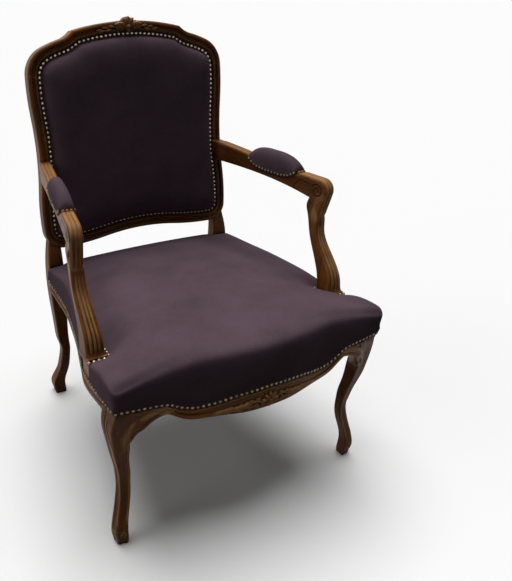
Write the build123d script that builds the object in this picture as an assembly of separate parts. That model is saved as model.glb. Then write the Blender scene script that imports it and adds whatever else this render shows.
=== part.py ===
from build123d import *
import os
from math import sin, cos, acos, radians, degrees, atan2, hypot, sqrt

os.makedirs("parts", exist_ok=True)

# Driving sizes in millimetres, Z up, front of the chair towards -Y, origin on the floor under the middle

# Back frame
BACK_RAKE = 6.84
BACK_Y = 250.5
BACK_Z = 450.0
BACK_TOP = 521.5
ARCH_R = 594.0
ARCH_TURN = 13.53
NOTCH_TURN = 31.5
CAVETTO_R = 66.0
CAVETTO_TURN = 30.0
SHOULDER_R = 300.0
SHOULDER_TURN = 9.0
EAR_R = 69.0
EAR_TURN = 63.0
FLANK_R = 645.0
FLANK_TURN = 8.0
WAIST_R = 850.0
WAIST_TURN = 12.0
HIP_R = 575.0
HIP_TURN = 10.0
FOOT_CORNER_R = 45.8
FOOT_CORNER_TURN = 87.0
LOW_RAIL_R = 700.0
LOW_RAIL_TURN = 9.5

# Moulding of the back frame, measured inwards from the outline and back from the face
FRAME_W = 40.0
FRAME_T = 34.0
BEAD_W = 5.5
COVE_IN = 10.5
COVE_OUT = 16.2
COVE_DEPTH = 6.2
LIP_W = 20.8
RABBET_IN = 22.0
RABBET_DEPTH = 9.0
REAR_RABBET_IN = 24.0
REAR_RABBET_DEPTH = 3.0

# Seat plan
SEAT_FRONT = 345.5
BOW_R = 480.0
BOW_TURN = 15.0
BOW_BACK_R = 450.0
BOW_BACK_TURN = 9.0
CORNER_RUN_R = 4000.0
CORNER_RUN_TURN = 1.75
SIDE_JUMP = 76.75
SIDE_R = 1551.0
SIDE_TURN = 21.0

# Seat rails
RAIL_TOP = 395.0
RAIL_T = 28.0
SIDE_RAIL_T = 26.0
REAR_RAIL_T = 26.0
REAR_RAIL_DROP = 56.0
BORDER_H = 9.0
BORDER_OUT = 2.2
NAIL_EDGE = 6.0
TENON_T = 9.0
TENON_L = 20.0
GLUE = 0.1

# Front legs
LEG_FOOT_X = 303.0
LEG_FOOT_Y = -277.5
LEG_POST_IN = 50.0
LEG_POST_BACK = 52.0
LEG_POST_LOW = 344.0
LEG_BORDER = 1.5

# Rear legs
STILE_X = 242.0
STILE_W = 40.0
STILE_D = 38.0

# Arms and their supports
ARM_X = 239.5
ARM_FLARE = 9.18
ARM_W = 28.0
ARM_ROUND = 4.5
ARM_SEAM_Z = 606.0
ARM_END_Q = -4.6
ROLL_R = 24.0
ROLL_Y = -88.0
ROLL_Z = 630.0
STUMP_X = 298.5
STUMP_BASE_W = 41.0
STUMP_TOP_W = 28.0
STUMP_BASE_FRONT = -177.5
STUMP_BASE_REAR = -134.0

# Arm pads, measured along the arm from its rear end
PAD_START = 134.0
PAD_L = 172.0
PAD_FLOOR = 650.0
PAD_CROWN = 688.0
PAD_SKIRT = 631.0

# Upholstery
CLOTH_T = 1.5
STRAP_T = 1.2
STRAP_W = 50.0
BURLAP_T = 0.8
FIT = 0.1
BACK_CROWN = 24.0
SEAT_CROWN = 75.0
SEAT_BULGE = 5.0

# Corner blocks, and the shift that brings the middle of the chair over the origin
ORIGIN_SHIFT = 4.55
BLOCK_LEG = 62.0
BLOCK_H = 26.0


def turtle(start, heading, legs):
    # A chain of arcs: each leg gives its radius, its turn and the jump in heading before it
    arcs = []
    x, y = start
    for radius, turn, jump in legs:
        heading = heading + jump
        side = -1 if turn < 0 else 1
        cx = x - side * radius * sin(radians(heading))
        cy = y + side * radius * cos(radians(heading))
        heading = heading + turn
        ex = cx + side * radius * sin(radians(heading))
        ey = cy - side * radius * cos(radians(heading))
        arcs.append({"c": (cx, cy), "r": radius, "side": side, "p0": (x, y), "p1": (ex, ey), "corner": jump != 0})
        x, y = ex, ey
    return arcs


def crossing(a, b, near):
    # The point where two circles meet that lies nearest to a given point
    ax, ay = a["c"]
    bx, by = b["c"]
    d = hypot(bx - ax, by - ay)
    along = (d * d + a["r"] ** 2 - b["r"] ** 2) / (2 * d)
    up = sqrt(max(a["r"] ** 2 - along ** 2, 0.0))
    ux, uy = (bx - ax) / d, (by - ay) / d
    found = []
    for s in (1, -1):
        found.append((ax + along * ux - s * up * uy, ay + along * uy + s * up * ux))
    return min(found, key=lambda p: hypot(p[0] - near[0], p[1] - near[1]))


def from_centre(arc, point, radius):
    cx, cy = arc["c"]
    k = radius / arc["r"]
    return (cx + (point[0] - cx) * k, cy + (point[1] - cy) * k)


def inset(arcs, d):
    # The same chain moved inwards by d, keeping every arc
    out = []
    for a in arcs:
        moved = dict(a)
        moved["r"] = a["r"] + a["side"] * d
        moved["p0"] = from_centre(a, a["p0"], moved["r"])
        moved["p1"] = from_centre(a, a["p1"], moved["r"])
        out.append(moved)
    for i in range(1, len(out)):
        if out[i]["corner"]:
            p = crossing(out[i - 1], out[i], arcs[i]["p0"])
            out[i - 1]["p1"] = p
            out[i]["p0"] = p
    return out


def arc_points(a):
    mx = (a["p0"][0] + a["p1"][0]) / 2 - a["c"][0]
    my = (a["p0"][1] + a["p1"][1]) / 2 - a["c"][1]
    k = a["r"] / hypot(mx, my)
    return a["p0"], (a["c"][0] + mx * k, a["c"][1] + my * k), a["p1"]


def half_edges(arcs, place):
    return [ThreePointArc(*[place(p) for p in arc_points(a)]) for a in arcs]


def loop_face(arcs, place, close=None):
    # A closed face from the right half and its mirror image
    right = half_edges(arcs, place)
    left = half_edges(arcs, lambda p: place((-p[0], p[1])))
    edges = right + left
    if close is not None:
        edges.append(Line(place(arcs[-1]["p1"]), place((-arcs[-1]["p1"][0], arcs[-1]["p1"][1]))))
    return make_face(edges)


def slab(face, low, high):
    return extrude(face.moved(Location((0, 0, low))), amount=high - low, dir=(0, 0, 1))


def block(x0, x1, y0, y1, z0, z1):
    return Box(x1 - x0, y1 - y0, z1 - z0).moved(Location(((x0 + x1) / 2, (y0 + y1) / 2, (z0 + z1) / 2)))


def mirrored(solid):
    return mirror(solid, about=Plane.YZ)


def save(name, shape):
    export_step(shape.moved(Location((0, ORIGIN_SHIFT, 0))), "parts/" + name + ".step")


# The outline of the back, right half from the top middle to the bottom middle
back_plane = Plane(
    origin=(0, BACK_Y, BACK_Z),
    x_dir=(1, 0, 0),
    z_dir=(0, -cos(radians(BACK_RAKE)), sin(radians(BACK_RAKE))),
)
back_place = back_plane.location
back_legs = [
    (ARCH_R, -ARCH_TURN, 0),
    (CAVETTO_R, CAVETTO_TURN, -NOTCH_TURN),
    (SHOULDER_R, -SHOULDER_TURN, 0),
    (EAR_R, -EAR_TURN, 0),
    (FLANK_R, -FLANK_TURN, 0),
    (WAIST_R, WAIST_TURN, 0),
    (HIP_R, -HIP_TURN, 0),
    (FOOT_CORNER_R, -FOOT_CORNER_TURN, 0),
]
back_arcs = turtle((0, BACK_TOP), 0, back_legs)
back_heading = -ARCH_TURN + CAVETTO_TURN - NOTCH_TURN - SHOULDER_TURN - EAR_TURN
back_heading = back_heading - FLANK_TURN + WAIST_TURN - HIP_TURN - FOOT_CORNER_TURN
rise = radians(LOW_RAIL_TURN)
drop_angle = radians(back_heading + 180)
low_start = back_arcs[-1]["p1"]
low_run = LOW_RAIL_R * (sin(rise) + sin(drop_angle))
low_end_r = (low_start[0] - low_run) / sin(rise)
low_legs = [
    (LOW_RAIL_R, -(LOW_RAIL_TURN + degrees(drop_angle)), 0),
    (low_end_r, LOW_RAIL_TURN, 0),
]
back_arcs = back_arcs + turtle(low_start, back_heading, low_legs)
back_mid = (0, BACK_TOP / 2)


def back_face(d, q=0.0, s=1.0):
    def place(p):
        return (p[0] * s, back_mid[1] + (p[1] - back_mid[1]) * s, q)

    return loop_face(inset(back_arcs, d), place)


def flat(p):
    return (p[0], p[1], 0)


def flat_left(p):
    return (-p[0], p[1], 0)


# The moulding profile, x inwards from the outline and y towards the front
def moulding_profile():
    line = [
        Line((0, 3 - FRAME_T), (0, -5)),
        ThreePointArc((0, -5), (0.33 * BEAD_W, -1.4), (BEAD_W, 0)),
        ThreePointArc((BEAD_W, 0), (0.62 * COVE_IN + 0.38 * BEAD_W, -1.1), (COVE_IN, -4)),
        ThreePointArc((COVE_IN, -4), ((COVE_IN + COVE_OUT) / 2, -COVE_DEPTH), (COVE_OUT, -4.5)),
        ThreePointArc((COVE_OUT, -4.5), ((COVE_OUT + LIP_W) / 2, -2.4), (LIP_W, -4.5)),
        Line((LIP_W, -4.5), (LIP_W, -6)),
        Line((LIP_W, -6), (RABBET_IN, -6)),
        Line((RABBET_IN, -6), (RABBET_IN, -RABBET_DEPTH)),
        Line((RABBET_IN, -RABBET_DEPTH), (FRAME_W, -RABBET_DEPTH)),
        Line((FRAME_W, -RABBET_DEPTH), (FRAME_W, REAR_RABBET_DEPTH - FRAME_T)),
        Line((FRAME_W, REAR_RABBET_DEPTH - FRAME_T), (REAR_RABBET_IN, REAR_RABBET_DEPTH - FRAME_T)),
        Line((REAR_RABBET_IN, REAR_RABBET_DEPTH - FRAME_T), (REAR_RABBET_IN, -FRAME_T)),
        Line((REAR_RABBET_IN, -FRAME_T), (3, -FRAME_T)),
        Line((3, -FRAME_T), (0, 3 - FRAME_T)),
    ]
    return make_face(line)


def swept(edges):
    path = Wire(edges)
    start = path.position_at(0)
    tangent = path.tangent_at(0)
    inward = Vector(tangent.Y, -tangent.X, 0)
    plane = Plane(origin=start, x_dir=inward, z_dir=-tangent)
    return sweep(plane.location * moulding_profile(), path=path, transition=Transition.RIGHT)


def reverse_edges(arcs, place):
    edges = []
    for a in reversed(arcs):
        p0, m, p1 = arc_points(a)
        edges.append(ThreePointArc(place(p1), place(m), place(p0)))
    return edges


crest_local = swept(reverse_edges(back_arcs[0:4], flat_left) + half_edges(back_arcs[0:4], flat))
stile_local = swept(half_edges(back_arcs[4:8], flat))
low_rail_local = swept(half_edges(back_arcs[8:10], flat) + reverse_edges(back_arcs[8:10], flat_left))

# Crest flower, a raised cabochon with two petals on the arch
flower_z = BACK_TOP - 11.0
flower = Cylinder(15, 20).moved(Location((0, flower_z + 4.5, -7)))
flower = fillet(flower.edges().filter_by(GeomType.CIRCLE).sort_by(Axis.Z)[-1], 6.5)
crest_local = crest_local + flower
for side_sign in (-1, 1):
    petal = Cylinder(10, 18).moved(Location((side_sign * 20, flower_z + 1.5, -8)))
    petal = fillet(petal.edges().filter_by(GeomType.CIRCLE).sort_by(Axis.Z)[-1], 5)
    crest_local = crest_local + petal

# Tenons of the stile top and of the lower rail
ear_end = back_arcs[3]["p1"]
ear_heading = radians(-ARCH_TURN + CAVETTO_TURN - NOTCH_TURN - SHOULDER_TURN - EAR_TURN)
ear_inward = (sin(ear_heading), -cos(ear_heading))
ear_up = (-cos(ear_heading), -sin(ear_heading))
ear_plane = Plane(
    origin=(ear_end[0] + ear_inward[0] * 21, ear_end[1] + ear_inward[1] * 21, -20),
    x_dir=(ear_inward[0], ear_inward[1], 0),
    z_dir=(ear_up[0], ear_up[1], 0),
)
ear_tenon = ear_plane.location * block(-9, 9, -TENON_T / 2, TENON_T / 2, -4, TENON_L)
ear_mortise = ear_plane.location * block(
    -9 - GLUE, 9 + GLUE, -TENON_T / 2 - GLUE, TENON_T / 2 + GLUE, -4, TENON_L + GLUE
)
low_y = low_start[1] + 20
low_tenon = block(low_start[0] - 4, low_start[0] + TENON_L, low_y - 9, low_y + 9, -20 - TENON_T / 2, -20 + TENON_T / 2)
low_mortise = block(
    low_start[0] - 4,
    low_start[0] + TENON_L + GLUE,
    low_y - 9 - GLUE,
    low_y + 9 + GLUE,
    -20 - TENON_T / 2 - GLUE,
    -20 + TENON_T / 2 + GLUE,
)
crest_local = crest_local - ear_mortise - mirrored(ear_mortise)
stile_local = stile_local + ear_tenon
low_rail_local = low_rail_local + low_tenon + mirrored(low_tenon)
crest_rail = back_place * crest_local
lower_back_rail = back_place * low_rail_local
low_mortise_world = back_place * low_mortise

# The seat plan, right half from the front middle, with the front drawn upwards and then turned
seat_legs = [
    (BOW_R, -BOW_TURN, 0),
    (BOW_BACK_R, BOW_BACK_TURN, 0),
    (CORNER_RUN_R, -CORNER_RUN_TURN, 0),
    (SIDE_R, -SIDE_TURN, -SIDE_JUMP),
]
seat_arcs = turtle((0, SEAT_FRONT), 0, seat_legs)
seat_rear = -seat_arcs[-1]["p1"][1]
seat_corner = seat_arcs[2]["p1"]
seat_mid_f = 40.0


def seat_chain(d):
    out = inset(seat_arcs, d)
    last = out[-1]
    f = -seat_rear + d
    last["p1"] = (last["c"][0] + sqrt(last["r"] ** 2 - (f - last["c"][1]) ** 2), f)
    return out


def seat_face(d, z=0.0, s=1.0):
    def place(p):
        return (p[0] * s, -(seat_mid_f + (p[1] - seat_mid_f) * s), z)

    return loop_face(seat_chain(d), place, close=True)


def on_arcs(arcs, key, value):
    # The other coordinate of the outline where one coordinate has a given value
    for a in arcs:
        lo = min(a["p0"][key], a["p1"][key])
        hi = max(a["p0"][key], a["p1"][key])
        if lo <= value <= hi:
            away = sqrt(a["r"] ** 2 - (value - a["c"][key]) ** 2)
            outer = arc_points(a)[1][1 - key] > a["c"][1 - key]
            return a["c"][1 - key] + (away if outer else -away)
    return arcs[-1]["p1"][1 - key]


def front_y(x, d=0.0):
    return -on_arcs(seat_chain(d)[0:3], 0, abs(x))


def side_x(y, d=0.0):
    return on_arcs(seat_chain(d)[3:4], 1, -y)


# Nail lines and lower edges of the seat rails
FRONT_NAILS = [(0, 354), (78, 348), (112, 341), (155, 336), (184, 343), (212, 357), (262, 361), (330, 362)]
SIDE_NAILS = [(-330, 362), (-250, 361), (-110, 351), (80, 351), (190, 363), (250, 379), (290, 390)]
FRONT_EDGE = [(0, 302), (60, 303), (110, 307), (180, 314), (208, 332), (236, 340), (262, 334), (290, 318)]
SIDE_EDGE = [(-310, 322), (-250, 335), (-150, 322), (40, 322), (170, 333), (222, 343), (262, 346)]


def both_sides(points):
    left = [(-p[0], p[1]) for p in reversed(points[1:])]
    return left + points


def above(points, plane, top, low, far):
    # The upright region over a curve, as a block running from low to far across its plane
    curve = Spline(*[(p[0], p[1]) for p in points])
    x0, z0 = points[0]
    x1, z1 = points[-1]
    rim = Polyline((x1, z1), (x1, top), (x0, top), (x0, z0))
    face = make_face([curve] + rim.edges())
    return extrude((plane.location * Pos(0, 0, low)) * face, amount=far - low, dir=plane.z_dir)


def shifted(points, dz):
    return [(p[0], p[1] + dz) for p in points]


front_view = Plane(origin=(0, 0, 0), x_dir=(1, 0, 0), z_dir=(0, -1, 0))
side_view = Plane(origin=(0, 0, 0), x_dir=(0, 1, 0), z_dir=(1, 0, 0))
front_region = above(both_sides(FRONT_EDGE), front_view, RAIL_TOP, 200, 420)
side_region = above(SIDE_EDGE, side_view, RAIL_TOP, 180, 420)
front_border_top = above(both_sides(shifted(FRONT_EDGE, BORDER_H)), front_view, RAIL_TOP + 40, 200, 420)
side_border_top = above(shifted(SIDE_EDGE, BORDER_H), side_view, RAIL_TOP + 40, 180, 420)

# Seat rails
post_x = seat_corner[0] - LEG_POST_IN
post_y = -seat_corner[1] + LEG_POST_BACK
stile_in = STILE_X - STILE_W / 2
stile_front = BACK_Y - 7.5
plan_solid = slab(seat_face(0), 290, RAIL_TOP)
front_band = plan_solid - slab(seat_face(RAIL_T), 280, RAIL_TOP + 10)
side_band = plan_solid - slab(seat_face(SIDE_RAIL_T), 280, RAIL_TOP + 10)
border_band = slab(seat_face(-BORDER_OUT), 290, RAIL_TOP) - slab(seat_face(2), 280, RAIL_TOP + 10)
front_zone = block(-post_x, post_x, -420, -200, 280, 420)
side_zone = block(stile_in + FIT, 420, post_y, stile_front, 280, 420)
front_rail = (front_band & front_zone) & front_region
front_border = ((border_band & front_zone) & front_region) - front_border_top
side_rail = (side_band & side_zone) & side_region
side_border = ((border_band & side_zone) & side_region) - side_border_top
front_tenon_y = front_y(post_x) + RAIL_T / 2 + 2
front_tenon = block(post_x - 6, post_x + TENON_L, front_tenon_y - TENON_T / 2, front_tenon_y + TENON_T / 2, 350, 388)
front_mortise = block(
    post_x - 6,
    post_x + TENON_L + GLUE,
    front_tenon_y - TENON_T / 2 - GLUE,
    front_tenon_y + TENON_T / 2 + GLUE,
    350 - GLUE,
    388 + GLUE,
)
side_tenon_x = side_x(post_y) - SIDE_RAIL_T / 2
side_tenon = block(side_tenon_x - TENON_T / 2, side_tenon_x + TENON_T / 2, post_y - TENON_L, post_y + 6, 350, 388)
side_mortise = block(
    side_tenon_x - TENON_T / 2 - GLUE,
    side_tenon_x + TENON_T / 2 + GLUE,
    post_y - TENON_L - GLUE,
    post_y + 6,
    350 - GLUE,
    388 + GLUE,
)
rear_end_x = min(side_x(stile_front) - SIDE_RAIL_T / 2, STILE_X + STILE_W / 2 - 12)
rear_tenon = block(rear_end_x - TENON_T / 2, rear_end_x + TENON_T / 2, stile_front - 6, stile_front + TENON_L, 352, 388)
rear_mortise = block(
    rear_end_x - TENON_T / 2 - GLUE,
    rear_end_x + TENON_T / 2 + GLUE,
    stile_front - 6,
    stile_front + TENON_L + GLUE,
    352 - GLUE,
    388 + GLUE,
)
front_rail = front_rail + front_border + front_tenon + mirrored(front_tenon)
side_rail = side_rail + side_border + side_tenon + rear_tenon
rear_reach = stile_in - 0.35
rear_rail = block(-rear_reach, rear_reach, seat_rear - REAR_RAIL_T, seat_rear, RAIL_TOP - REAR_RAIL_DROP, RAIL_TOP)
cross_tenon = block(
    stile_in - 6,
    stile_in + TENON_L - 8,
    seat_rear - REAR_RAIL_T / 2 - TENON_T / 2,
    seat_rear - REAR_RAIL_T / 2 + TENON_T / 2,
    352,
    388,
)
cross_mortise = block(
    stile_in - 6,
    stile_in + TENON_L - 8 + GLUE,
    seat_rear - REAR_RAIL_T / 2 - TENON_T / 2 - GLUE,
    seat_rear - REAR_RAIL_T / 2 + TENON_T / 2 + GLUE,
    352 - GLUE,
    388 + GLUE,
)
rear_rail = rear_rail + cross_tenon + mirrored(cross_tenon)

# Front leg: levels give height, shift along the diagonal and the two half diagonals
LEG_LEVELS = [
    (0, 0.0, 15.5, 16.5),
    (10, 0.5, 17.0, 18.5),
    (30, 3.0, 18.5, 19.5),
    (55, 0.0, 16.5, 18.5),
    (85, -10.0, 15.0, 17.5),
    (125, -21.5, 14.5, 17.0),
    (165, -22.0, 15.0, 17.5),
    (205, -15.5, 17.5, 19.0),
    (240, -8.0, 20.5, 22.5),
    (275, -3.0, 23.0, 26.5),
    (310, -1.0, 25.5, 31.0),
]


def leg_section(z, outer, front, inner, side, round_r):
    # Four corners with a raised strip beside the front and the side corner
    def step(a, b, k, out):
        return (a[0] + (b[0] - a[0]) * k + out[0], a[1] + (b[1] - a[1]) * k + out[1])

    fx, fy = front[0] - outer[0], front[1] - outer[1]
    sx, sy = side[0] - outer[0], side[1] - outer[1]
    fl, sl = hypot(fx, fy), hypot(sx, sy)
    f_out = (-fy / fl * LEG_BORDER, fx / fl * LEG_BORDER)
    s_out = (sy / sl * LEG_BORDER, -sx / sl * LEG_BORDER)
    points = [
        (outer[0], outer[1], z),
        (*step(outer, front, 0.62, (0, 0)), z),
        (*step(outer, front, 0.70, f_out), z),
        (*step(outer, front, 1.0, f_out), z),
        (inner[0], inner[1], z),
        (*step(outer, side, 1.0, s_out), z),
        (*step(outer, side, 0.70, s_out), z),
        (*step(outer, side, 0.62, (0, 0)), z),
    ]
    radii = [round_r, 0.8, 0.8, round_r * 0.5, round_r * 0.7, round_r * 0.5, 0.8, 0.8]
    return make_face(FilletPolyline(*points, radius=radii, close=True))


leg_sections = []
k45 = sqrt(0.5)
for z, shift, half_d, half_w in LEG_LEVELS:
    cx = LEG_FOOT_X + shift * k45
    cy = LEG_FOOT_Y - shift * k45
    outer = (cx + half_d * k45, cy - half_d * k45)
    inner = (cx - half_d * k45, cy + half_d * k45)
    front = (cx - half_w * k45, cy - half_w * k45)
    side = (cx + half_w * k45, cy + half_w * k45)
    leg_sections.append(leg_section(z, outer, front, inner, side, 5.0))
knee_front = (post_x, front_y(post_x))
knee_side = (side_x(post_y), post_y)
knee_outer = (seat_corner[0], -seat_corner[1])
leg_sections.append(leg_section(LEG_POST_LOW, knee_outer, knee_front, (post_x, post_y), knee_side, 5.0))
leg_sections.append(leg_section(LEG_POST_LOW + 12, knee_outer, knee_front, (post_x, post_y), knee_side, 5.0))
front_leg = loft(leg_sections)
post = slab(seat_face(0), LEG_POST_LOW + 6, RAIL_TOP) & block(post_x, 420, -420, post_y, 200, 420)
front_leg = front_leg & block(post_x - 40, 420, -420, post_y + 40, -5, LEG_POST_LOW + 8)
front_leg = front_leg + post - front_mortise - side_mortise
front_leg = front_leg - block(post_x - 60, post_x, -420, post_y + 60, LEG_POST_LOW - 32, 420)
front_leg = front_leg - block(post_x - 60, 420, post_y, post_y + 60, LEG_POST_LOW - 32, 420)

# Rear leg and stile: levels give height, centre and the two widths
REAR_LEVELS = [
    (0, 252.0, 283.0, 29, 29),
    (12, 253.0, 284.5, 32, 32),
    (30, 254.5, 286.0, 33, 33),
    (60, 247.5, 280.5, 29, 30),
    (90, 239.5, 272.0, 26, 28),
    (126, 235.0, 265.5, 24, 27),
    (180, 237.5, 260.0, 27, 30),
    (233, 241.0, 258.5, 31, 33),
    (285, 242.0, 259.5, 36, 35),
]


def stile_section(z, cx, cy, wx, wy):
    points = [
        (cx - wx / 2, cy - wy / 2, z),
        (cx + wx / 2, cy - wy / 2, z),
        (cx + wx / 2, cy + wy / 2, z),
        (cx - wx / 2, cy + wy / 2, z),
    ]
    return make_face(FilletPolyline(*points, radius=4, close=True))


rear_sections = [stile_section(*level) for level in REAR_LEVELS]
stile_cy = stile_front + STILE_D / 2
rear_sections.append(stile_section(330, STILE_X, stile_cy, STILE_W, STILE_D))
rear_sections.append(stile_section(RAIL_TOP, STILE_X, stile_cy + 1, STILE_W, STILE_D))
rear_sections.append(stile_section(440, STILE_X - 1.5, stile_cy + 4.5, STILE_W - 5, STILE_D - 5))
rear_sections.append(stile_section(484, STILE_X - 4, stile_cy + 9, STILE_W - 14, STILE_D - 14))
rear_leg = loft(rear_sections)
rear_leg = rear_leg - back_place * slab(back_face(RABBET_IN), -RABBET_DEPTH, 60)
rear_leg = rear_leg + back_place * stile_local
rear_leg = rear_leg - low_mortise_world - rear_mortise - cross_mortise

# Arm, drawn in its own side view with the distance measured forwards from its rear end
arm_rear_y = BACK_Y + (ARM_SEAM_Z + 42 - BACK_Z) * sin(radians(BACK_RAKE)) / cos(radians(BACK_RAKE))
flare = radians(ARM_FLARE)
roll_s = (arm_rear_y - ROLL_Y) / cos(flare)
arm_plane = Plane(
    origin=(ARM_X, arm_rear_y, 0),
    x_dir=(sin(flare), -cos(flare), 0),
    z_dir=(-cos(flare), -sin(flare), 0),
)
seam_front = roll_s + 13.0
seam_rear = roll_s - 25.0
seam_reach = hypot(seam_front - roll_s, ARM_SEAM_Z - ROLL_Z)
roll_end = atan2(ARM_SEAM_Z - ROLL_Z, seam_front - roll_s) + acos(ROLL_R / seam_reach)
roll_leave = (roll_s + ROLL_R * cos(roll_end), ROLL_Z + ROLL_R * sin(roll_end))
arm_line = [
    Spline((-22, 668), (105, 663), (roll_s - 80, 655), (roll_s, ROLL_Z + ROLL_R), tangents=((1, 0), (1, 0))),
    ThreePointArc((roll_s, ROLL_Z + ROLL_R), (roll_s + ROLL_R * k45, ROLL_Z + ROLL_R * k45), roll_leave),
    Line(roll_leave, (seam_front, ARM_SEAM_Z)),
    Line((seam_front, ARM_SEAM_Z), (seam_rear, ARM_SEAM_Z)),
    Spline((seam_rear, ARM_SEAM_Z), (roll_s - 110, 617), (140, 622), (-22, 618)),
    Line((-22, 618), (-22, 668)),
]
arm_side = make_face(arm_line)
arm_local = extrude(arm_plane.location * arm_side, amount=ARM_W / 2, both=True)
long_edges = [e for e in arm_local.edges() if abs(arm_plane.to_local_coords(e.center()).Z) > ARM_W / 2 - 0.5]
upper = [e for e in long_edges if arm_plane.to_local_coords(e.center()).Y > ARM_SEAM_Z + 1]
upper = [e for e in upper if arm_plane.to_local_coords(e.center()).X > 0]
arm = fillet(upper, ARM_ROUND)
pad_end = PAD_START + PAD_L
pad_cut = arm_plane.location * block(PAD_START, pad_end, PAD_FLOOR, PAD_FLOOR + 60, -ARM_W, ARM_W)
arm = arm - pad_cut
arm_tenon_end = FRAME_T - 8
arm_tenon = arm_plane.location * block(-arm_tenon_end, 4, 630, 656, -TENON_T / 2, TENON_T / 2)
arm_mortise = arm_plane.location * block(
    -arm_tenon_end - GLUE, 4, 630 - GLUE, 656 + GLUE, -TENON_T / 2 - GLUE, TENON_T / 2 + GLUE
)
arm = arm & (back_place * block(-400, 400, -100, 700, ARM_END_Q, 700))
arm = arm - rear_leg
arm = arm.solids().sort_by(SortBy.VOLUME)[-1]
rear_leg = rear_leg - arm_mortise
arm = arm + arm_tenon

# Arm support: levels give height, front, rear, middle and width, with a ridge down the front
STUMP_LEVELS = [
    (563, -96.0, -66.0),
    (535, -99.5, -74.5),
    (508, -111.5, -86.0),
    (488, -129.0, -98.0),
    (468, -147.0, -110.0),
    (446, -163.0, -121.5),
    (424, -170.5, -129.0),
]
seam_mid = arm_plane.from_local_coords(Vector((seam_front + seam_rear) / 2, 0, 0))
seam_l = seam_front - seam_rear


def stump_section(z, front, rear, mid, width, turn):
    half_l = (rear - front) / 2
    cy = (rear + front) / 2
    ca, sa = cos(radians(turn)), sin(radians(turn))
    corners = [
        (-width / 2, -half_l),
        (0, -half_l - 2.6),
        (width / 2, -half_l),
        (width / 2, half_l),
        (-width / 2, half_l),
    ]
    points = [(mid + x * ca - y * sa, cy + x * sa + y * ca, z) for x, y in corners]
    return make_face(FilletPolyline(*points, radius=[4, 1.5, 4, 3.5, 3.5], close=True))


stump_sections = [
    stump_section(ARM_SEAM_Z, seam_mid.Y - seam_l / 2 + 2.6, seam_mid.Y + seam_l / 2, seam_mid.X, STUMP_TOP_W, ARM_FLARE)
]
count = len(STUMP_LEVELS)
for i, (z, front, rear) in enumerate(STUMP_LEVELS):
    k = (i + 1) / (count + 1)
    width = STUMP_TOP_W + (STUMP_BASE_W - STUMP_TOP_W) * k ** 1.6
    mid = seam_mid.X + (STUMP_X - seam_mid.X) * k
    stump_sections.append(stump_section(z, front, rear, mid, width, ARM_FLARE * (1 - k)))
stump_sections.append(stump_section(404, STUMP_BASE_FRONT, STUMP_BASE_REAR, STUMP_X, STUMP_BASE_W, 0))
arm_support = loft(stump_sections)
plinth_x0 = STUMP_X - STUMP_BASE_W / 2 - 0.5
plinth_x1 = STUMP_X + STUMP_BASE_W / 2 + 0.5
plinth_y0 = STUMP_BASE_FRONT - 2.5
plinth_y1 = STUMP_BASE_REAR + 0.5
plinth = block(plinth_x0, plinth_x1, plinth_y0, plinth_y1, RAIL_TOP, 405)
arm_support = arm_support + plinth
stump_tenon_x = side_x((plinth_y0 + plinth_y1) / 2) - SIDE_RAIL_T / 2
stump_mid_y = (plinth_y0 + plinth_y1) / 2
stump_tenon = block(
    stump_tenon_x - 5, stump_tenon_x + 5, stump_mid_y - 12, stump_mid_y + 12, RAIL_TOP - TENON_L, RAIL_TOP + 4
)
stump_mortise = block(
    stump_tenon_x - 5 - GLUE,
    stump_tenon_x + 5 + GLUE,
    stump_mid_y - 12 - GLUE,
    stump_mid_y + 12 + GLUE,
    RAIL_TOP - TENON_L - GLUE,
    RAIL_TOP + 4,
)
seam_plane = Plane(origin=(seam_mid.X, seam_mid.Y, ARM_SEAM_Z), x_dir=arm_plane.x_dir, z_dir=(0, 0, 1))
seam_tenon = seam_plane.location * block(-8, 8, -5, 5, -4, TENON_L)
seam_mortise = seam_plane.location * block(-8 - GLUE, 8 + GLUE, -5 - GLUE, 5 + GLUE, -4, TENON_L + GLUE)
arm_support = arm_support + stump_tenon + seam_tenon
side_rail = side_rail - stump_mortise
arm = arm - seam_mortise

# Corner blocks under the seat
block_low = RAIL_TOP - 34 - BLOCK_H


def corner_block(points):
    face = make_face(Polyline(*points, close=True))
    return extrude(face.moved(Location((0, 0, block_low))), amount=BLOCK_H, dir=(0, 0, 1))


def corner_points(ax, ay, bx, by, out):
    # The slanting inner face from a to b, then well out past the corner
    return [(ax, ay), (bx, by), (bx + 90, by), (bx + 90, ay + out), (ax, ay + out)]


keep_front = slab(seat_face(RAIL_T + GLUE), block_low - 5, RAIL_TOP)
front_a_x = post_x - BLOCK_LEG
front_b_y = post_y + BLOCK_LEG
front_corner = corner_block(
    corner_points(front_a_x, front_y(front_a_x, RAIL_T), side_x(front_b_y, RAIL_T), front_b_y, -90)
)
front_corner = (front_corner & keep_front) - block(post_x - GLUE, 420, -420, post_y + GLUE, 200, 420)
keep_side = slab(seat_face(SIDE_RAIL_T + GLUE), block_low - 5, RAIL_TOP)
rear_a_y = seat_rear - REAR_RAIL_T - GLUE
rear_b_y = stile_front - BLOCK_LEG
rear_corner = corner_block(
    corner_points(stile_in - BLOCK_LEG, rear_a_y, side_x(rear_b_y, SIDE_RAIL_T), rear_b_y, 0)
)
rear_corner = (rear_corner & keep_side) - block(stile_in - GLUE, 420, stile_front - GLUE, 420, 200, 420)

# Webbing, burlap and cushion of the seat
def straps_along_y(xs, low, high):
    made = []
    for x in xs:
        front = max(front_y(x - STRAP_W / 2), front_y(x + STRAP_W / 2)) + 8
        made.append(block(x - STRAP_W / 2, x + STRAP_W / 2, front, seat_rear - 6, low, high))
    return made


def straps_along_x(ys, low, high):
    made = []
    for y in ys:
        reach = min(side_x(y - STRAP_W / 2), side_x(y + STRAP_W / 2)) - 6
        made.append(block(-reach, reach, y - STRAP_W / 2, y + STRAP_W / 2, low, high))
    return made


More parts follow.
